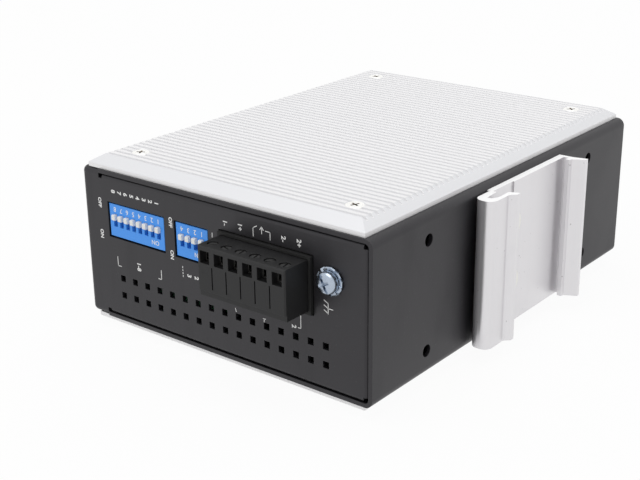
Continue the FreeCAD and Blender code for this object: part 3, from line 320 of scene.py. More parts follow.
def anodised_plate():
    """Clear anodised aluminium with fine lines along the ribs and faint handling marks; painted shade
    darkens the tilted bevels, and the edges carry wear with a painted highlight.
    """
    own = bpy.context.scene.switch_metal
    plate = Finish("anodised_plate", own.plate, 0.42, 0.45)
    worn_edge_and_highlight = plate.edge(0.00016)
    lines = plate.noise((own.draw_lines * 2, 0.050, own.draw_lines * 2), 2.0, 0.6)
    clouds = plate.noise(0.035, 4.0, 0.6)
    marks = plate.noise((0.0006, 0.014, 0.0006), 2.0).above(0.70, 0.80)
    plate.tint(lines * 0.06 + clouds * 0.08, (0.70, 0.70, 0.72))
    plate.tint(marks * 0.08, (0.55, 0.55, 0.57))
    facing = plate.facing("X")
    # painted shade: the tilted bevel faces, between the plate's face and the rib sides, are tinted a
    # darker bluish grey
    bevel_shade = facing.above(0.30, 0.40) * (1 - facing.above(0.94, 0.98))
    plate.tint(bevel_shade * 0.35, (0.60, 0.62, 0.66))
    # painted highlight along the edges, together with wear of the anodising
    plate.tint(worn_edge_and_highlight * 0.30, (0.97, 0.97, 0.98))
    plate.roughness = 0.40 + lines * 0.10 + clouds * 0.08
    plate.bump(lines, 0.000003)
    return plate.done()


def extruded_clip():
    """Bare extrusion: die lines along its length, sawn ends, small dents and dull patches."""
    own = bpy.context.scene.switch_metal
    clip = Finish("extruded_clip", own.clip, 0.34, 0.80)
    worn_edge_and_highlight = clip.edge(0.00014)
    lines = clip.noise((0.060, own.draw_lines, own.draw_lines), 3.0, 0.6)
    bands = clip.noise((0.200, 0.0016, 0.0016), 2.0)
    patches = clip.noise(0.011, 4.0, 0.65).above(0.52, 0.72)
    pits = clip.noise(0.0013, 1.0).above(0.765, 0.785)
    sawn = clip.facing("X").above(0.90, 0.97)
    teeth = clip.noise((0.010, 0.0035, 0.00022), 1.0)
    clip.tint(bands * 0.22 + patches * 0.08, (0.66, 0.65, 0.69))
    clip.tint(pits * 0.45, (0.26, 0.25, 0.24))
    clip.tint(sawn * 0.90, (0.97, 0.97, 0.97))
    # painted highlight along the edges, together with wear of the bare metal
    clip.tint(worn_edge_and_highlight * 0.30, (0.97, 0.97, 0.97))
    clip.roughness = 0.25 + lines * 0.12 + patches * 0.08 + sawn * 0.20
    clip.bump(lines * (1 - sawn) + teeth * sawn * 3, 0.000004)
    return clip.done()


def plated_steel(name, base, cast, roughness=0.24):
    """Bright plated steel with a faint coloured cast in clouds and fine turning marks."""
    steel = Finish(name, base, roughness, 1.0)
    clouds = steel.noise(0.0022, 3.0, 0.6)
    grain = steel.noise(0.00012, 2.0)
    stains = steel.noise(0.0009, 2.0).above(0.62, 0.75)
    steel.tint(clouds * 0.55, cast)
    steel.tint(stains * 0.25, (0.30, 0.29, 0.28))
    steel.roughness = roughness + grain * 0.12 + stains * 0.12
    steel.bump(grain, 0.000006)
    return steel.done()


def greased(name):
    """Painted shade inside a cross recess: dark, brownish steel."""
    return plated_steel(name, (0.30, 0.24, 0.16), (0.12, 0.09, 0.06), 0.45)


def gilt():
    """Gold flash over brass."""
    own = bpy.context.scene.switch_metal
    return plated_steel("gold_flash", own.gilt, (0.74, 0.50, 0.22), 0.22)


def moulding(name, base, pale, roughness, grain=0.00035, depth=0.000010, edge=0.00014, **constants):
    """Moulded plastic: a fine spark-eroded skin, flow clouds, fingermarks, and pale corners that are
    partly worn and partly a painted highlight.
    """
    plastic = Finish(name, base, roughness, IOR=1.50, **constants)
    worn_edge_and_highlight = plastic.edge(edge)
    flow = plastic.noise((0.006, 0.010, 0.006), 3.0, 0.6)
    skin = plastic.noise(grain, 2.0, 0.6)
    marks = plastic.noise(0.0035, 3.0, 0.6).above(0.55, 0.75)
    # the corners are tinted pale: partly wear, partly a painted highlight
    plastic.tint(flow * 0.16 + worn_edge_and_highlight * 0.30, pale)
    plastic.roughness = roughness + marks * 0.10 - worn_edge_and_highlight * 0.05 + skin * 0.06
    plastic.bump(skin, depth)
    return plastic.done()


def laminate():
    """Green solder resist over copper tracks, with plated holes between them."""
    own = bpy.context.scene.switch_plastic
    board = Finish("green_laminate", own.laminate, 0.30, IOR=1.5)
    weave = board.noise(0.0006, 1.0)
    tracks = board.cells(0.0032, "DISTANCE_TO_EDGE").above(0.05, 0.09)
    holes = board.cells(0.0051)
    plated = 1 - holes.above(0.10, 0.14)
    board.tint((1 - tracks) * 0.65, (0.030, 0.200, 0.080))
    board.tint(plated * 0.9, (0.62, 0.60, 0.52))
    board.roughness = 0.26 + weave * 0.14
    board.bump((1 - tracks) * 0.6 + weave * 0.2, 0.00003)
    return board.done()


def chip_epoxy():
    """Black moulding compound with a fine matte grain and a small ink dot."""
    epoxy = Finish("chip_epoxy", (0.018, 0.018, 0.019), 0.55)
    grain = epoxy.noise(0.00018, 2.0, 0.7)
    clouds = epoxy.noise(0.004, 3.0)
    epoxy.tint(clouds * 0.4 + grain * 0.15, (0.05, 0.05, 0.052))
    epoxy.roughness = 0.48 + grain * 0.2
    epoxy.bump(grain, 0.00002)
    return epoxy.done()


def lamp_lens():
    """Milky light guides with a faint green cast."""
    lens = Finish("lamp_lens", (0.62, 0.72, 0.58), 0.18, IOR=1.49, Transmission_Weight=0.25)
    haze = lens.noise(0.0009, 3.0)
    lens.tint(haze * 0.4, (0.78, 0.82, 0.74))
    lens.roughness = 0.14 + haze * 0.12
    lens.bump(haze, 0.00001)
    return lens.done()


def screen_ink():
    """White screen print, a little thin in places."""
    own = bpy.context.scene.switch_print
    ink = Finish("screen_ink", own.ink, 0.5)
    thin = ink.noise(0.0004, 2.0, 0.6)
    ink.tint(thin.above(0.5, 0.8) * 0.35, (0.45, 0.45, 0.46))
    ink.roughness = 0.45 + thin * 0.15
    ink.bump(thin, 0.000006)
    return ink.done()


def paint(material, *names):
    """Give the CAD nodes a finish."""
    for name in names:
        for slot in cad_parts[name].material_slots:
            slot.material = material


# -------------------------------- mesh building

def as_mesh(shape, name):
    """The shape as a new mesh. The shape goes away."""
    mesh = bpy.data.meshes.new(name)
    shape.to_mesh(mesh)
    shape.free()
    return mesh


def sides(shape, low, high):
    """The four faces between two rings of four corners."""
    for k in range(4):
        shape.faces.new((low[k], low[(k + 1) % 4], high[(k + 1) % 4], high[k]))


def new_piece(name, mesh, material=None):
    """An object at the origin whose place is in its mesh."""
    mesh.name = name
    piece = bpy.data.objects.new(name, mesh)
    bpy.context.scene.collection.objects.link(piece)
    if material is not None:
        mesh.materials.clear()
        mesh.materials.append(material)
    return piece


def evaluated(piece, name, material=None):
    """A plain mesh piece with the modifiers of another applied. The first one goes away."""
    bpy.context.view_layer.update()
    graph = bpy.context.evaluated_depsgraph_get()
    mesh = bpy.data.meshes.new_from_object(piece.evaluated_get(graph), depsgraph=graph)
    bpy.data.objects.remove(piece)
    return new_piece(name, mesh, material)


def lathe(profile, segments):
    """Turn a profile of (radius, height) pairs about Z into a closed mesh."""
    shape = bmesh.new()
    points = [shape.verts.new((radius, 0, height)) for radius, height in profile]
    rim = [shape.edges.new(pair) for pair in zip(points, points[1:])]
    bmesh.ops.spin(shape, geom=points + rim, axis=(0, 0, 1), cent=(0, 0, 0), steps=segments,
                   angle=2 * math.pi, use_merge=True)
    bmesh.ops.remove_doubles(shape, verts=shape.verts, dist=1e-7)
    bmesh.ops.recalc_face_normals(shape, faces=shape.faces)
    return as_mesh(shape, "turned")


def tapered_bars(bars):
    """Closed four-sided wedges, each given by its length, width, foot share, top and depth."""
    shape = bmesh.new()
    for long, wide, foot, top, depth, turn in bars:
        corners = []
        for height, shrink in ((top - depth, foot), (top, 1.0)):
            for x, y in ((-1, -1), (1, -1), (1, 1), (-1, 1)):
                spot = Vector((x * long / 2 * shrink, y * wide / 2, height))
                corners.append(shape.verts.new(Matrix.Rotation(turn, 3, "Z") @ spot))
        low, high = corners[:4], corners[4:]
        shape.faces.new(low[::-1])
        shape.faces.new(high)
        sides(shape, low, high)
    return as_mesh(shape, "bars")


def cut(body_mesh, tools, name):
    """Take the tools' shapes out of a closed mesh, one after another."""
    body = new_piece(name + "_blank", body_mesh)
    cutters = []
    for mesh in tools:
        cutter = new_piece(name + "_tool", mesh)
        modifier = body.modifiers.new("cut", "BOOLEAN")
        modifier.operation = "DIFFERENCE"
        modifier.solver = "EXACT"
        modifier.object = cutter
        cutters.append(cutter)
    result = evaluated(body, name)
    for cutter in cutters:
        bpy.data.objects.remove(cutter)
    return result


def weld(mesh):
    """Close up slivers left by a cut or by a font's outline."""
    shape = bmesh.new()
    shape.from_mesh(mesh)
    bmesh.ops.remove_doubles(shape, verts=shape.verts, dist=SLIVER)
    bmesh.ops.dissolve_degenerate(shape, edges=shape.edges, dist=SLIVER)
    shape.to_mesh(mesh)
    shape.free()


def smooth_turned(mesh, limit=math.radians(35)):
    """Smooth the turned faces and keep the sharp corners."""
    weld(mesh)
    shape = bmesh.new()
    shape.from_mesh(mesh)
    for face in shape.faces:
        face.smooth = True
    for line in shape.edges:
        line.smooth = len(line.link_faces) == 2 and line.calc_face_angle(0) < limit
    shape.to_mesh(mesh)
    shape.free()


# -------------------------------- repeating pieces

def empty_tree(name, inputs):
    """The nodes of a new tree with the inputs given by name and kind, and those inputs."""
    tree = bpy.data.node_groups.new(name, "GeometryNodeTree")
    for label, kind in inputs.items():
        tree.interface.new_socket(label, in_out="INPUT", socket_type="NodeSocket" + kind)
    tree.interface.new_socket("Geometry", in_out="OUTPUT", socket_type="NodeSocketGeometry")
    build = Nodes(tree)
    return build, build.node("NodeGroupInput").outputs


def copies_on(build, given, points, turned, placing):
    """The given piece on each point, put in its place as plain mesh and given its material."""
    piece = build.node("GeometryNodeObjectInfo", None, {"Object": given["Piece"]})
    copies = build.node("GeometryNodeInstanceOnPoints", None, {
        "Points": points.outputs["Mesh"], "Instance": piece.outputs["Geometry"],
        "Rotation": turned.outputs[0]})
    placed = build.node("GeometryNodeTransform", None, {"Geometry": copies.outputs[0], **placing})
    real = build.node("GeometryNodeRealizeInstances", None, {"Geometry": placed.outputs[0]})
    clad = build.node("GeometryNodeSetMaterial", None, {
        "Geometry": real.outputs[0], "Material": given["Material"]})
    return clad.outputs[0]


def array_tree():
    """Geometry Nodes: one piece repeated on a grid, each copy turned a little about its own axis."""
    build, given = empty_tree("Repeat on a grid", {
        "Piece": "Object", "Across": "Int", "Along": "Int", "Width": "Float", "Length": "Float",
        "Centre": "Vector", "Turn": "Rotation", "Spin": "Float", "Seed": "Int",
        "Material": "Material", "Recess": "Material"})
    grid = build.node("GeometryNodeMeshGrid", None, {
        "Size X": given["Width"], "Size Y": given["Length"], "Vertices X": given["Across"],
        "Vertices Y": given["Along"]})
    spin = build.node("FunctionNodeRandomValue", {"data_type": "FLOAT"}, {
        "Seed": given["Seed"], 2: 0.0, 3: given["Spin"]})
    turned = build.node("ShaderNodeCombineXYZ", None, {"Z": spin.outputs[1]})
    clad = copies_on(build, given, grid, turned, {
        "Translation": given["Centre"], "Rotation": given["Turn"]})
    recess = build.node("GeometryNodeInputNamedAttribute", {"data_type": "FLOAT"}, {"Name": "recess"})
    shaded = build.node("GeometryNodeSetMaterial", None, {
        "Geometry": clad, "Selection": recess.outputs["Attribute"], "Material": given["Recess"]})
    build.node("NodeGroupOutput", None, {"Geometry": shaded.outputs[0]})
    return build.tree


def ring_tree():
    """Geometry Nodes: one piece repeated round a circle, each copy facing outwards and tilted."""
    build, given = empty_tree("Repeat round a ring", {
        "Piece": "Object", "Count": "Int", "Radius": "Float", "Tilt": "Float", "Centre": "Vector",
        "Material": "Material"})
    circle = build.node("GeometryNodeMeshCircle", None, {
        "Vertices": given["Count"], "Radius": given["Radius"]})
    number = Number(build, build.node("GeometryNodeInputIndex").outputs[0])
    angle = number.maths("DIVIDE", number, given["Count"]) * (2 * math.pi)
    turned = build.node("ShaderNodeCombineXYZ", None, {"X": given["Tilt"], "Z": angle})
    clad = copies_on(build, given, circle, turned, {"Translation": given["Centre"]})
    build.node("NodeGroupOutput", None, {"Geometry": clad})
    return build.tree


def repeated(name, tree, inputs):
    """A plain mesh piece made by a node tree with the inputs given by name."""
    host = new_piece(name + "_host", bpy.data.meshes.new(name))
    modifier = host.modifiers.new("repeat", "NODES")
    modifier.node_group = tree
    for socket in tree.interface.items_tree:
        if socket.item_type == "SOCKET" and socket.in_out == "INPUT" and socket.name in inputs:
            modifier[socket.identifier] = inputs[socket.name]
    return evaluated(host, name)


def joined(name, pieces, material):
    """Several pieces as one mesh."""
    shape = bmesh.new()
    for piece in pieces:
        shape.from_mesh(piece.data)
        bpy.data.objects.remove(piece)
    mesh = as_mesh(shape, name)
    for face in mesh.polygons:
        face.material_index = 0
    return new_piece(name, mesh, material)


def screw_blank(name, profile, wings, depth, own):
    """One screw standing on its point, with a cross recess or a slot in its head."""
    top = max(height for _, height in profile)
    bars = [tapered_bars([(long, wide, foot, top + depth * 0.2, depth * 1.2, turn)])
            for long, wide, foot, turn in wings]
    screw = cut(lathe(profile, own.segments), bars, name)
    smooth_turned(screw.data)
    mark_recess(screw.data, top, depth)
    return screw


def countersunk(head, shank, total, rim, sunk=0.0):
    """The profile of a countersunk screw from its point to its head, whose rim is broken by a bevel."""
    point = 0.3 * MM
    return [(0, -total), (shank - point, -total), (shank, point - total), (shank, shank - head),
            (head, -sunk - rim), (head - rim, -sunk), (0, -sunk)]


def cross(long, wide, turn=0.0):
    """The two wings of a cross recess, shorter at the foot than at the top."""
    foot = 0.45
    return [(long, wide, foot, turn), (long, wide, foot, turn + math.pi / 2)]


def mark_recess(mesh, top, depth):
    """Mark the faces inside a screw's recess."""
    recess = mesh.attributes.new("recess", "FLOAT", "FACE")
    widest = max(corner.co.xy.length for corner in mesh.vertices)
    for face in mesh.polygons:
        central = face.center.xy.length < widest * 0.66
        sunk = top - depth * 1.05 < face.center.z < top - depth * 0.04
        recess.data[face.index].value = float(central and sunk)


def rays_that_see(build):
    """1 for the rays of the camera, of mirrors and of glass, 0 for the rest."""
    path = build.node("ShaderNodeLightPath").outputs
    seen = Number(build, path["Is Camera Ray"])
    return seen.maths("MAXIMUM", seen.maths("MAXIMUM", seen, path["Is Glossy Ray"]),
                      path["Is Transmission Ray"])


def middle(node):
    """The middle of a CAD node's box."""
    low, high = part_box(node)
    return (low + high) / 2


# -------------------------------- printing

def lettering(words, x, y, height, level, up, film, weight=0.01):
    """A solid mesh of text whose top points along +Y or +X."""
    font = bpy.data.curves.new("text", "FONT")
    font.body = words
    font.size = height * CAPITALS
    font.align_x = "CENTER"
    font.align_y = "CENTER"
    font.extrude = film / 2
    font.offset = height * weight
    font.resolution_u = 3
    host = bpy.data.objects.new("text", font)
    bpy.context.scene.collection.objects.link(host)
    piece = evaluated(host, "text")
    weld(piece.data)
    turn = Matrix.Rotation(0 if up == "Y" else -math.pi / 2, 4, "Z")
    piece.data.transform(Matrix.Translation((x, y, level + film / 2)) @ turn)
    return piece


def line_work(strokes, width, level, film):
    """Printed lines: a flat bar for each step of each stroke."""
    shape = bmesh.new()
    for stroke in strokes:
        for start, end in zip(stroke, stroke[1:]):
            a, b = Vector(start), Vector(end)
            along = (b - a).normalized() * width / 2
            side = Vector((-along.y, along.x))
            outline = [a - along - side, b + along - side, b + along + side, a - along + side]
            low = [shape.verts.new((p.x, p.y, level)) for p in outline]
            high = [shape.verts.new((p.x, p.y, level + film)) for p in outline]
            shape.faces.new(low[::-1])
            shape.faces.new(high)
            sides(shape, low, high)
    return new_piece("lines", as_mesh(shape, "lines"))


# -------------------------------- operators

class SWITCH_OT_case(bpy.types.Operator):
    """Coat the folded case"""
    bl_idname = "switch.case"
    bl_label = "Case coat"

    def execute(self, context):
        paint(powder_coat(), "side_back_shell", "front_shell")
        return {"FINISHED"}


class SWITCH_OT_plates(bpy.types.Operator):
    """Finish the two ribbed plates"""
    bl_idname = "switch.plates"
    bl_label = "Heat-sink plates"

    def execute(self, context):
        paint(anodised_plate(), "left_heatsink_plate", "right_heatsink_plate")
        return {"FINISHED"}


class SWITCH_OT_plate_screws(bpy.types.Operator):
    """Set four cross-headed screws in each plate"""
    bl_idname = "switch.plate_screws"
    bl_label = "Plate screws"

    def execute(self, context):
        own = context.scene.switch_screw
        zinc = plated_steel("zinc_screws", (0.98, 0.98, 0.97), (0.90, 0.87, 0.80), 0.20)
        # painted shade in the cross recesses of the plate screws
        recess = greased("greased_recess")
        head, shank, total, sunk = 2.74 * MM, 1.44 * MM, 7.9 * MM, 0.03 * MM
        profile = countersunk(head, shank, total, own.bevel * 2.4, sunk)
        blank = screw_blank("plate_screw_blank", profile, cross(2.9 * MM, own.recess), 1.3 * MM, own)
        tree = array_tree()
        cad_head = 5.6 * MM
        for side, node in ((-1, "left_plate_screws"), (1, "right_plate_screws")):
            low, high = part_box(node)
            face = low.x if side < 0 else high.x
            inputs = {
                "Piece": blank, "Across": 2, "Along": 2, "Width": high.z - low.z - cad_head,
                "Length": high.y - low.y - cad_head, "Centre": (face, middle(node).y, middle(node).z),
                "Turn": (0, side * math.pi / 2, 0), "Spin": math.pi / 2, "Seed": own.seed + side,
                "Material": zinc, "Recess": recess}
            piece = repeated(node + "_detail", tree, inputs)
            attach(piece, "case")
            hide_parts(node)
        bpy.data.objects.remove(blank)
        return {"FINISHED"}


class SWITCH_OT_clip(bpy.types.Operator):
    """Finish the rail clip, its spring, screws and nuts"""
    bl_idname = "switch.clip"
    bl_label = "Rail clip"

    def execute(self, context):
        own, steel = context.scene.switch_screw, context.scene.switch_metal.steel
        paint(extruded_clip(), "rail_clip")
        paint(plated_steel("spring_strip", (0.34, 0.34, 0.36), (0.42, 0.36, 0.30), 0.30), "rail_spring")
        zinc = plated_steel("zinc_clip_screws", steel, (0.86, 0.82, 0.70))
        # painted shade in the cross recesses of the clip screws
        recess = greased("greased_clip_recess")
        paint(zinc, "clip_nuts")
        low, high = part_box("clip_screws")
        head = (high.z - low.z) / 2 - 0.03 * MM
        profile = countersunk(head, 1.93 * MM, high.y - low.y, own.bevel)
        blank = screw_blank("clip_screw_blank", profile, cross(4.6 * MM, 0.8 * MM), 1.6 * MM, own)
        spacing = high.x - low.x - (high.z - low.z)
        centre = middle("clip_screws")
        inputs = {
            "Piece": blank, "Across": 2, "Along": 1, "Width": spacing, "Length": 0.0,
            "Centre": (centre.x, high.y, centre.z), "Turn": (-math.pi / 2, 0, 0), "Spin": 1.3,
            "Seed": own.seed, "Material": zinc, "Recess": recess}
        piece = repeated("clip_screws_detail", array_tree(), inputs)
        bpy.data.objects.remove(blank)
        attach(piece, "case")
        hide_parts("clip_screws")
        return {"FINISHED"}


class SWITCH_OT_slide_switches(bpy.types.Operator):
    """Colour the slide switches and print their digits"""
    bl_idname = "switch.slide_switches"
    bl_label = "Slide switches"

    def execute(self, context):
        scene = context.scene
        own, ink = scene.switch_plastic, screen_ink()
        blue = moulding("blue_cover", own.switch, (0.06, 0.34, 0.95), 0.36)
        white = moulding("white_lever", own.lever, (0.95, 0.95, 0.94), 0.30, depth=0.000004,
                         edge=0.00006)
        # painted shade: the switch base is the cover's blue darkened, as the shade in the lever slots
        # and the gaps round the cover
        shaded = tuple(part * 0.05 for part in own.switch)
        paint(blue, "dip8_cover", "dip4_cover")
        paint(moulding("switch_base", shaded, (0.006, 0.022, 0.07), 0.6), "dip8_base", "dip4_base")
        levers = [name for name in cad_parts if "_lever_" in name]
        paint(white, *levers)
        paint(gilt(), "slide_switch_legs")
        printed = scene.switch_print
        digit_inset, mark_inset, mark_side, mark_height = 1.55 * MM, 1.75 * MM, 3.8 * MM, 1.4 * MM
        for name, ways in (("dip8", 8), ("dip4", 4)):
            low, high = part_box(name + "_cover")
            digits = [(str(number), low.x + digit_inset, middle(f"{name}_lever_{number}").y,
                       printed.digit_height) for number in range(1, ways + 1)]
            words = [*digits, ("ON", high.x - mark_inset, high.y - mark_side, mark_height)]
            marks = [lettering(*word, high.z, "X", printed.film) for word in words]
            piece = joined(name + "_print", marks, ink)
            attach(piece, "case")
        return {"FINISHED"}


class SWITCH_OT_panel_print(bpy.types.Operator):
    """Print the labels and symbols of the terminal panel"""
    bl_idname = "switch.panel_print"
    bl_label = "Panel print"

    def execute(self, context):
        own = context.scene.switch_print
        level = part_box("front_shell")[1].z
        marks = [lettering(words, x * MM, y * MM, own.label_height * tall, level, "Y", own.film,
                           own.weight) for words, x, y, tall in self.labels()]
        strokes = [[(x * MM, y * MM) for x, y in stroke] for stroke in self.strokes()]
        marks.append(line_work(strokes, own.stroke, level, own.film))
        piece = joined("panel_print", marks, screen_ink())
        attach(piece, "case")
        return {"FINISHED"}

    @staticmethod
    def labels():
        """Each label, its place in millimetres, and its share of the full height."""
        port_row, supply_row, off_row, on_row, small = -17.5, -17.4, -13.0, -3.2, 0.86
        ports = [(str(number), port_row, middle(f"dip8_lever_{number}").y / MM, 1.0)
                 for number in range(1, 9)]
        ends = [(words, row, y, small) for y in (-46.0, -17.0)
                for words, row in (("OFF", off_row), ("ON", on_row))]
        supplies = [(words, supply_row, y, 1.0)
                    for words, y in (("1-", 3.9), ("1+", 9.3), ("2-", 24.4), ("2+", 29.6))]
        groups = [("1-8", 3.9, -31.0, 1.0), ("3", 1.7, -10.6, 1.0), ("2", 1.7, -7.8, 1.0),
                  ("2", 6.6, 27.4, 1.0)]
        return ports + ends + supplies + groups

    def strokes(self):
        """The printed lines, in millimetres."""
        brackets = [[(2.8, -39.9), (5.6, -39.9), (5.6, -38.6)],
                    [(2.8, -21.8), (5.6, -21.8), (5.6, -23.0)],
                    [(2.9, 29.8), (6.6, 29.8), (6.6, 28.9)]]
        ticks = [[(-13.4, -1.0), (-12.2, -1.0)], [(7.0, 6.6), (7.9, 6.9)],
                 [(7.3, 17.0), (8.2, 17.0)], [(7.3, 16.7), (7.3, 17.5)]]
        dashes = [[(x, -13.0), (x + 0.35, -13.0)] for x in (-0.6, 0.3, 1.2, 2.1)]
        return brackets + ticks + dashes + self.relay_symbol(-17.0, 17.0) + self.earth_symbol(-1.6, 39.0)

    @staticmethod
    def relay_symbol(x, y):
        """A changeover contact: a wire with its blade, an arrow, and a second wire."""
        return [
            [(x + 1.1, y - 3.0), (x - 1.3, y - 3.0), (x - 2.0, y - 1.7)],
            [(x - 1.2, y + 1.3), (x - 1.2, y + 2.9), (x + 0.9, y + 2.9)],
            [(x - 0.2, y), (x - 2.0, y)],
            [(x - 1.3, y - 0.6), (x - 2.1, y), (x - 1.3, y + 0.6)],
        ]

    @staticmethod
    def earth_symbol(x, y):
        """A frame ground: a stem, a bar and three slanting strokes."""
        strokes = [[(x, y), (x, y + 1.5)], [(x - 1.5, y), (x + 1.5, y)]]
        strokes += [[(x + k, y), (x + k - 0.7, y - 1.3)] for k in (-1.4, 0.0, 1.4)]
        return strokes


class SWITCH_OT_terminal(bpy.types.Operator):
    """Finish the terminal plug, its header, cages and slotted clamp screws"""
    bl_idname = "switch.terminal"
    bl_label = "Terminal block"

    def execute(self, context):
        scene = context.scene
        own = scene.switch_screw
        black = moulding("black_plug", scene.switch_plastic.plug, (0.030, 0.030, 0.032), 0.46,
                         depth=0.000016, Specular_IOR_Level=0.38)
        paint(black, "terminal_plug")
        # painted shade: the header is darker than the plug so that its rim merges with the dark gap
        # round the plug
        paint(moulding("black_header", (0.004,) * 3, (0.008,) * 3, 0.7), "terminal_header")
        # painted shade: the cages are darkened steel, as the shade inside the wire entries
        zinc = plated_steel("zinc_clamps", (0.26, 0.26, 0.25), (0.16, 0.15, 0.13), 0.34)
        # painted shade: the clamp screws are made nearly black, as the shade deep in their access holes
        clamp_screw_shade = plated_steel("dull_clamp_screws", (0.10, 0.10, 0.10), (0.06, 0.06, 0.06), 0.5)
        paint(zinc, "clamp_cages")
        paint(gilt(), "header_pins")
        low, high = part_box("clamp_screws")
        head = (high.z - low.z) / 2
        rim = own.bevel
        total = high.x - low.x
        profile = [(0, -total), (head, -total), (head, -rim), (head - rim, 0), (0, 0)]
        wings = [(head * 2.2, 0.45 * MM, 1.0, 0.0)]
        blank = screw_blank("clamp_screw_blank", profile, wings, 0.55 * MM, own)
        inputs = {
            "Piece": blank, "Across": 1, "Along": 6, "Width": 0.0, "Length": high.y - low.y - 2 * head,
            "Centre": (low.x, middle("clamp_screws").y, middle("clamp_screws").z),
            "Turn": (0, -math.pi / 2, 0), "Spin": 2.6, "Seed": own.seed,
            "Material": clamp_screw_shade, "Recess": clamp_screw_shade}
        piece = repeated("clamp_screws_detail", array_tree(), inputs)
        bpy.data.objects.remove(blank)
        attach(piece, "case")
        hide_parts("clamp_screws")
        return {"FINISHED"}


class SWITCH_OT_ground(bpy.types.Operator):
    """Make the ground screw with its toothed washer"""
    bl_idname = "switch.ground"
    bl_label = "Ground screw"

    def execute(self, context):
        own = context.scene.switch_screw
        nickel = plated_steel("bright_nickel", (0.50, 0.56, 0.64), (0.24, 0.31, 0.42), 0.20)
        paint(nickel, "ground_nut")
        low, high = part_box("ground_screw")
        centre = middle("ground_screw")
        washer_low, washer_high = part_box("star_washer")
        seat = washer_high.z
        head = (high.x - low.x) / 2
        tall = high.z - seat
        tip, shank, point = 1.5 * MM, 1.93 * MM, 0.5 * MM
        wall, flat, steps = 0.34, 0.42, 8
        profile = [(0, low.z), (tip, low.z), (shank, low.z + point), (shank, seat), (head, seat),
                   (head, seat + tall * wall)]
        for step in range(1, steps):
            bend = math.pi / 2 * step / steps
            profile.append((head * (flat + (1 - flat) * math.cos(bend)),
                            seat + tall * (wall + (1 - wall) * math.sin(bend))))
        profile += [(head * flat, high.z), (0, high.z)]
        turn = 0.45
        blank = screw_blank("ground_blank", profile, cross(head * 1.25, 0.8 * MM, turn), 1.4 * MM, own)
        slot_tool = tapered_bars([(head * 2.2, 0.7 * MM, 1.0, high.z + 0.1 * MM, 0.75 * MM, turn)])
        screw = cut(blank.data.copy(), [slot_tool], "ground_screw_detail")
        bpy.data.objects.remove(blank)
        smooth_turned(screw.data)
        screw.data.materials.clear()
        screw.data.materials.append(nickel)
        screw.data.transform(Matrix.Translation((centre.x, centre.y, 0)))
        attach(screw, "case")
        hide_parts("ground_screw")
        self.washer(nickel, washer_low, washer_high)
        return {"FINISHED"}

    @staticmethod
    def washer(nickel, low, high):
        """A flat ring with ten twisted teeth."""
        centre = (low + high) / 2
        outer = (high.x - low.x) / 2
        ring = outer - 0.12 * MM
        half = 0.25 * MM
        hole = 2.2 * MM
        profile = [(hole, -half), (ring - half, -half), (ring, 0), (ring - half, half), (hole, half),
                   (hole, -half)]
        band = new_piece("band", lathe(profile, 48))
        band.data.transform(Matrix.Translation(centre))
        reach = 0.95 * MM
        blade = new_piece("blade", tapered_bars([(reach, 1.3 * MM, 1.0, half, 2 * half, 0.0)]))
        blade.data.transform(Matrix.Translation((-reach / 2, 0, 0)))
        teeth = repeated("teeth", ring_tree(), {
            "Piece": blade, "Count": 10, "Radius": outer, "Tilt": 0.32, "Centre": tuple(centre),
            "Material": nickel})
        bpy.data.objects.remove(blade)
        piece = joined("star_washer_detail", [band, teeth], nickel)
        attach(piece, "case")
        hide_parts("star_washer")


class SWITCH_OT_ports(bpy.types.Operator):
    """Finish the port block and bend its contact wires"""
    bl_idname = "switch.ports"
    bl_label = "Ports"

    def execute(self, context):
        paint(moulding("port_housing", (0.012, 0.012, 0.013), (0.04, 0.04, 0.042), 0.42), "jack_housing",
              "lamp_holder", "link_socket")
        paint(plated_steel("tinned_shield", (0.58, 0.58, 0.57), (0.46, 0.46, 0.44), 0.30), "jack_shield",
              "clock_crystal")
        paint(lamp_lens(), "status_lamps")
        gold = gilt()
        paint(gold, "link_pins")
        low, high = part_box("jack_contacts")
        wire = self.contact_wire(high.y - low.y)
        tree = array_tree()
        pitch, contacts = 1.02 * MM, 8
        port, ports = 13.97 * MM, 4
        centre = middle("jack_contacts")
        rows = []
        for wall, turn in ((low.x, math.pi), (high.x, 0.0)):
            comb = repeated("comb", tree, {
                "Piece": wire, "Across": 1, "Along": contacts, "Length": pitch * (contacts - 1),
                "Material": gold, "Recess": gold})
            inputs = {
                "Piece": comb, "Across": 1, "Along": ports, "Length": port * (ports - 1),
                "Centre": (wall, centre.y, centre.z), "Turn": (math.pi / 2, turn, 0),
                "Material": gold, "Recess": gold}
            rows.append(repeated("row", tree, inputs))
            bpy.data.objects.remove(comb)
        bpy.data.objects.remove(wire)
        piece = joined("jack_contacts_detail", rows, gold)
        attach(piece, "case")
        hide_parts("jack_contacts")
        return {"FINISHED"}

    @staticmethod
    def contact_wire(depth):
        """A sprung wire that slants from its root by the wall to a rolled tip, seen along Y."""
        thick, wide = 0.22 * MM, 0.42 * MM
        reach, back, ahead = 2.45 * MM, depth / 2, -depth / 2
        path = [(-reach, back), (-reach + 0.25 * MM, back - 1.2 * MM), (-0.45 * MM, ahead + 1.2 * MM),
                (-0.12 * MM, ahead + 0.5 * MM), (-0.25 * MM, ahead + 0.1 * MM)]
        shape = bmesh.new()
        rings = []
        for x, z in path:
            corners = ((x, -wide / 2), (x + thick, -wide / 2), (x + thick, wide / 2), (x, wide / 2))
            rings.append([shape.verts.new((a - thick, b, -z)) for a, b in corners])
        for first, second in zip(rings, rings[1:]):
            sides(shape, first, second)
        shape.faces.new(rings[0][::-1])
        shape.faces.new(rings[-1])
        bmesh.ops.recalc_face_normals(shape, faces=shape.faces)
        return new_piece("wire", as_mesh(shape, "wire"))


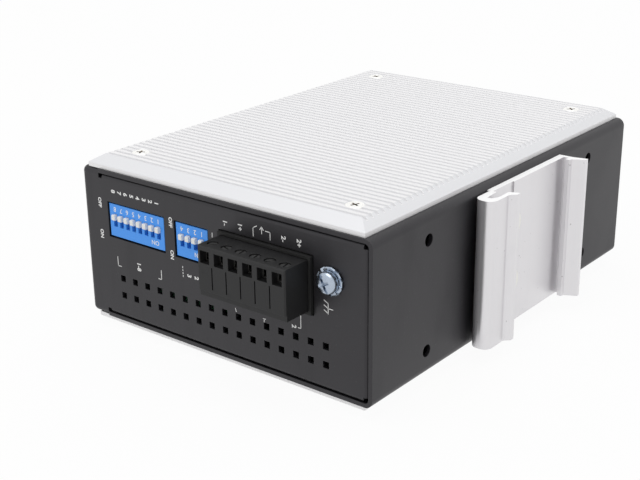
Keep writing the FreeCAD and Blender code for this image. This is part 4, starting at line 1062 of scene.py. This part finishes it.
class SWITCH_OT_boards(bpy.types.Operator):
    """Finish the circuit boards and what they carry"""
    bl_idname = "switch.boards"
    bl_label = "Circuit boards"

    def execute(self, context):
        paint(laminate(), "main_board", "io_board")
        paint(chip_epoxy(), "switch_chip", "magnetics", "power_converter", "memory_chip", "inductor")
        paint(moulding("nylon_supports", (0.70, 0.68, 0.62), (0.80, 0.79, 0.74), 0.42), "board_supports",
              "io_supports")
        paint(moulding("can_sleeve", (0.020, 0.025, 0.060), (0.06, 0.07, 0.12), 0.28), "capacitors")
        paint(moulding("relay_case", (0.045, 0.120, 0.380), (0.09, 0.20, 0.50), 0.32), "relay")
        paint(moulding("thermal_silicone", (0.32, 0.36, 0.42), (0.42, 0.46, 0.52), 0.70), "thermal_pad")
        return {"FINISHED"}


class SWITCH_OT_stage(bpy.types.Operator):
    """Set the floor, the soft light and the camera"""
    bl_idname = "switch.stage"
    bl_label = "Stage"

    def execute(self, context):
        scene = context.scene
        own = scene.switch_stage
        scene.view_settings.view_transform = "Standard"
        self.sky(scene, own)
        self.floor(own)
        self.lamp(own)
        self.camera(scene, own)
        return {"FINISHED"}

    @staticmethod
    def sky(scene, own):
        """Even light all round, white where the camera, a mirror or glass sees it."""
        scene.world = bpy.data.worlds.new("studio")
        scene.world.use_nodes = True
        build = Nodes(scene.world.node_tree)
        build.tree.nodes.clear()
        seen = rays_that_see(build)
        plain = build.node("ShaderNodeBackground", None, {"Color": (1, 1, 1, 1), "Strength": own.sky})
        white = build.node("ShaderNodeBackground", None, {"Color": (1, 1, 1, 1), "Strength": 1.0})
        mix = build.node("ShaderNodeMixShader", None, {
            0: seen, 1: plain.outputs[0], 2: white.outputs[0]})
        build.node("ShaderNodeOutputWorld", None, {"Surface": mix.outputs[0]})

    @staticmethod
    def floor(own):
        """A pale floor against the right plate, clear from behind."""
        material = bpy.data.materials.new("pale_floor")
        material.use_nodes = True
        build = Nodes(material.node_tree)
        build.tree.nodes.clear()
        matte = build.node("ShaderNodeBsdfDiffuse", None, {"Color": (*own.floor, 1)})
        glow = build.node("ShaderNodeEmission", None, {"Color": (1, 1, 1, 1), "Strength": 1.0})
        clear = build.node("ShaderNodeBsdfTransparent")
        seen = rays_that_see(build) * own.floor_glow
        front = build.node("ShaderNodeMixShader", None, {
            0: seen, 1: matte.outputs[0], 2: glow.outputs[0]})
        behind = build.node("ShaderNodeNewGeometry").outputs["Backfacing"]
        both = build.node("ShaderNodeMixShader", None, {
            0: behind, 1: front.outputs[0], 2: clear.outputs[0]})
        build.node("ShaderNodeOutputMaterial", None, {"Surface": both.outputs[0]})
        level, reach = CAD_BOX[1].x + own.floor_gap, own.floor_reach
        mesh = bpy.data.meshes.new("floor")
        corners = [(-reach, -reach), (-reach, reach), (reach, reach), (reach, -reach)]
        mesh.from_pydata([(level, y, z) for y, z in corners], [], [(0, 1, 2, 3)])
        new_piece("floor", mesh, material)

    @staticmethod
    def lamp(own):
        """A large soft lamp that faces the switch."""
        light = bpy.data.lights.new("key_lamp", "AREA")
        light.energy = own.key
        light.size = own.key_side
        lamp = bpy.data.objects.new("key_lamp", light)
        bpy.context.scene.collection.objects.link(lamp)
        lamp.location = own.key_place
        aim = (CAD_BOX[0] + CAD_BOX[1]) / 2 - lamp.location
        lamp.rotation_mode = "QUATERNION"
        lamp.rotation_quaternion = aim.to_track_quat("-Z", "Y")

    @staticmethod
    def camera(scene, own):
        """The camera that looks from behind and from the left plate's side."""
        data = bpy.data.cameras.new("camera")
        data.lens = own.lens
        data.sensor_width = 36.0
        camera = bpy.data.objects.new("camera", data)
        scene.collection.objects.link(camera)
        aim = Vector(own.aim).normalized()
        right = aim.cross(Vector(own.top)).normalized()
        top = right.cross(aim)
        turn = Matrix((right, top, -aim)).transposed().to_4x4()
        camera.matrix_world = Matrix.Translation(own.eye) @ turn
        data.clip_start = 0.01
        scene.camera = camera


OPERATORS = (
    SWITCH_OT_stage, SWITCH_OT_case, SWITCH_OT_plates, SWITCH_OT_plate_screws, SWITCH_OT_clip,
    SWITCH_OT_slide_switches, SWITCH_OT_panel_print, SWITCH_OT_terminal, SWITCH_OT_ground,
    SWITCH_OT_ports, SWITCH_OT_boards,
)


class SWITCH_PT_sidebar(bpy.types.Panel):
    """The makers of the switch's finishes and hardware"""
    bl_idname = "SWITCH_PT_sidebar"
    bl_label = "Network switch"
    bl_space_type = "VIEW_3D"
    bl_region_type = "UI"
    bl_category = "Network switch"

    def draw(self, context):
        for group, kind in SETTINGS.items():
            box = self.layout.box()
            box.label(text=kind.__name__.replace("Settings", ""))
            for name in kind.__annotations__:
                box.prop(getattr(context.scene, group), name)
        for operator in OPERATORS:
            self.layout.operator(operator.bl_idname)


def register():
    for group, kind in SETTINGS.items():
        bpy.utils.register_class(kind)
        setattr(bpy.types.Scene, group, PointerProperty(type=kind))
    for kind in (*OPERATORS, SWITCH_PT_sidebar):
        bpy.utils.register_class(kind)


def unregister():
    for kind in (SWITCH_PT_sidebar, *OPERATORS[::-1]):
        bpy.utils.unregister_class(kind)
    for group, kind in SETTINGS.items():
        delattr(bpy.types.Scene, group)
        bpy.utils.unregister_class(kind)


def main():
    register()
    for operator in OPERATORS:
        group, name = operator.bl_idname.split(".")
        getattr(getattr(bpy.ops, group), name)()


if __name__ == "__main__":
    main()
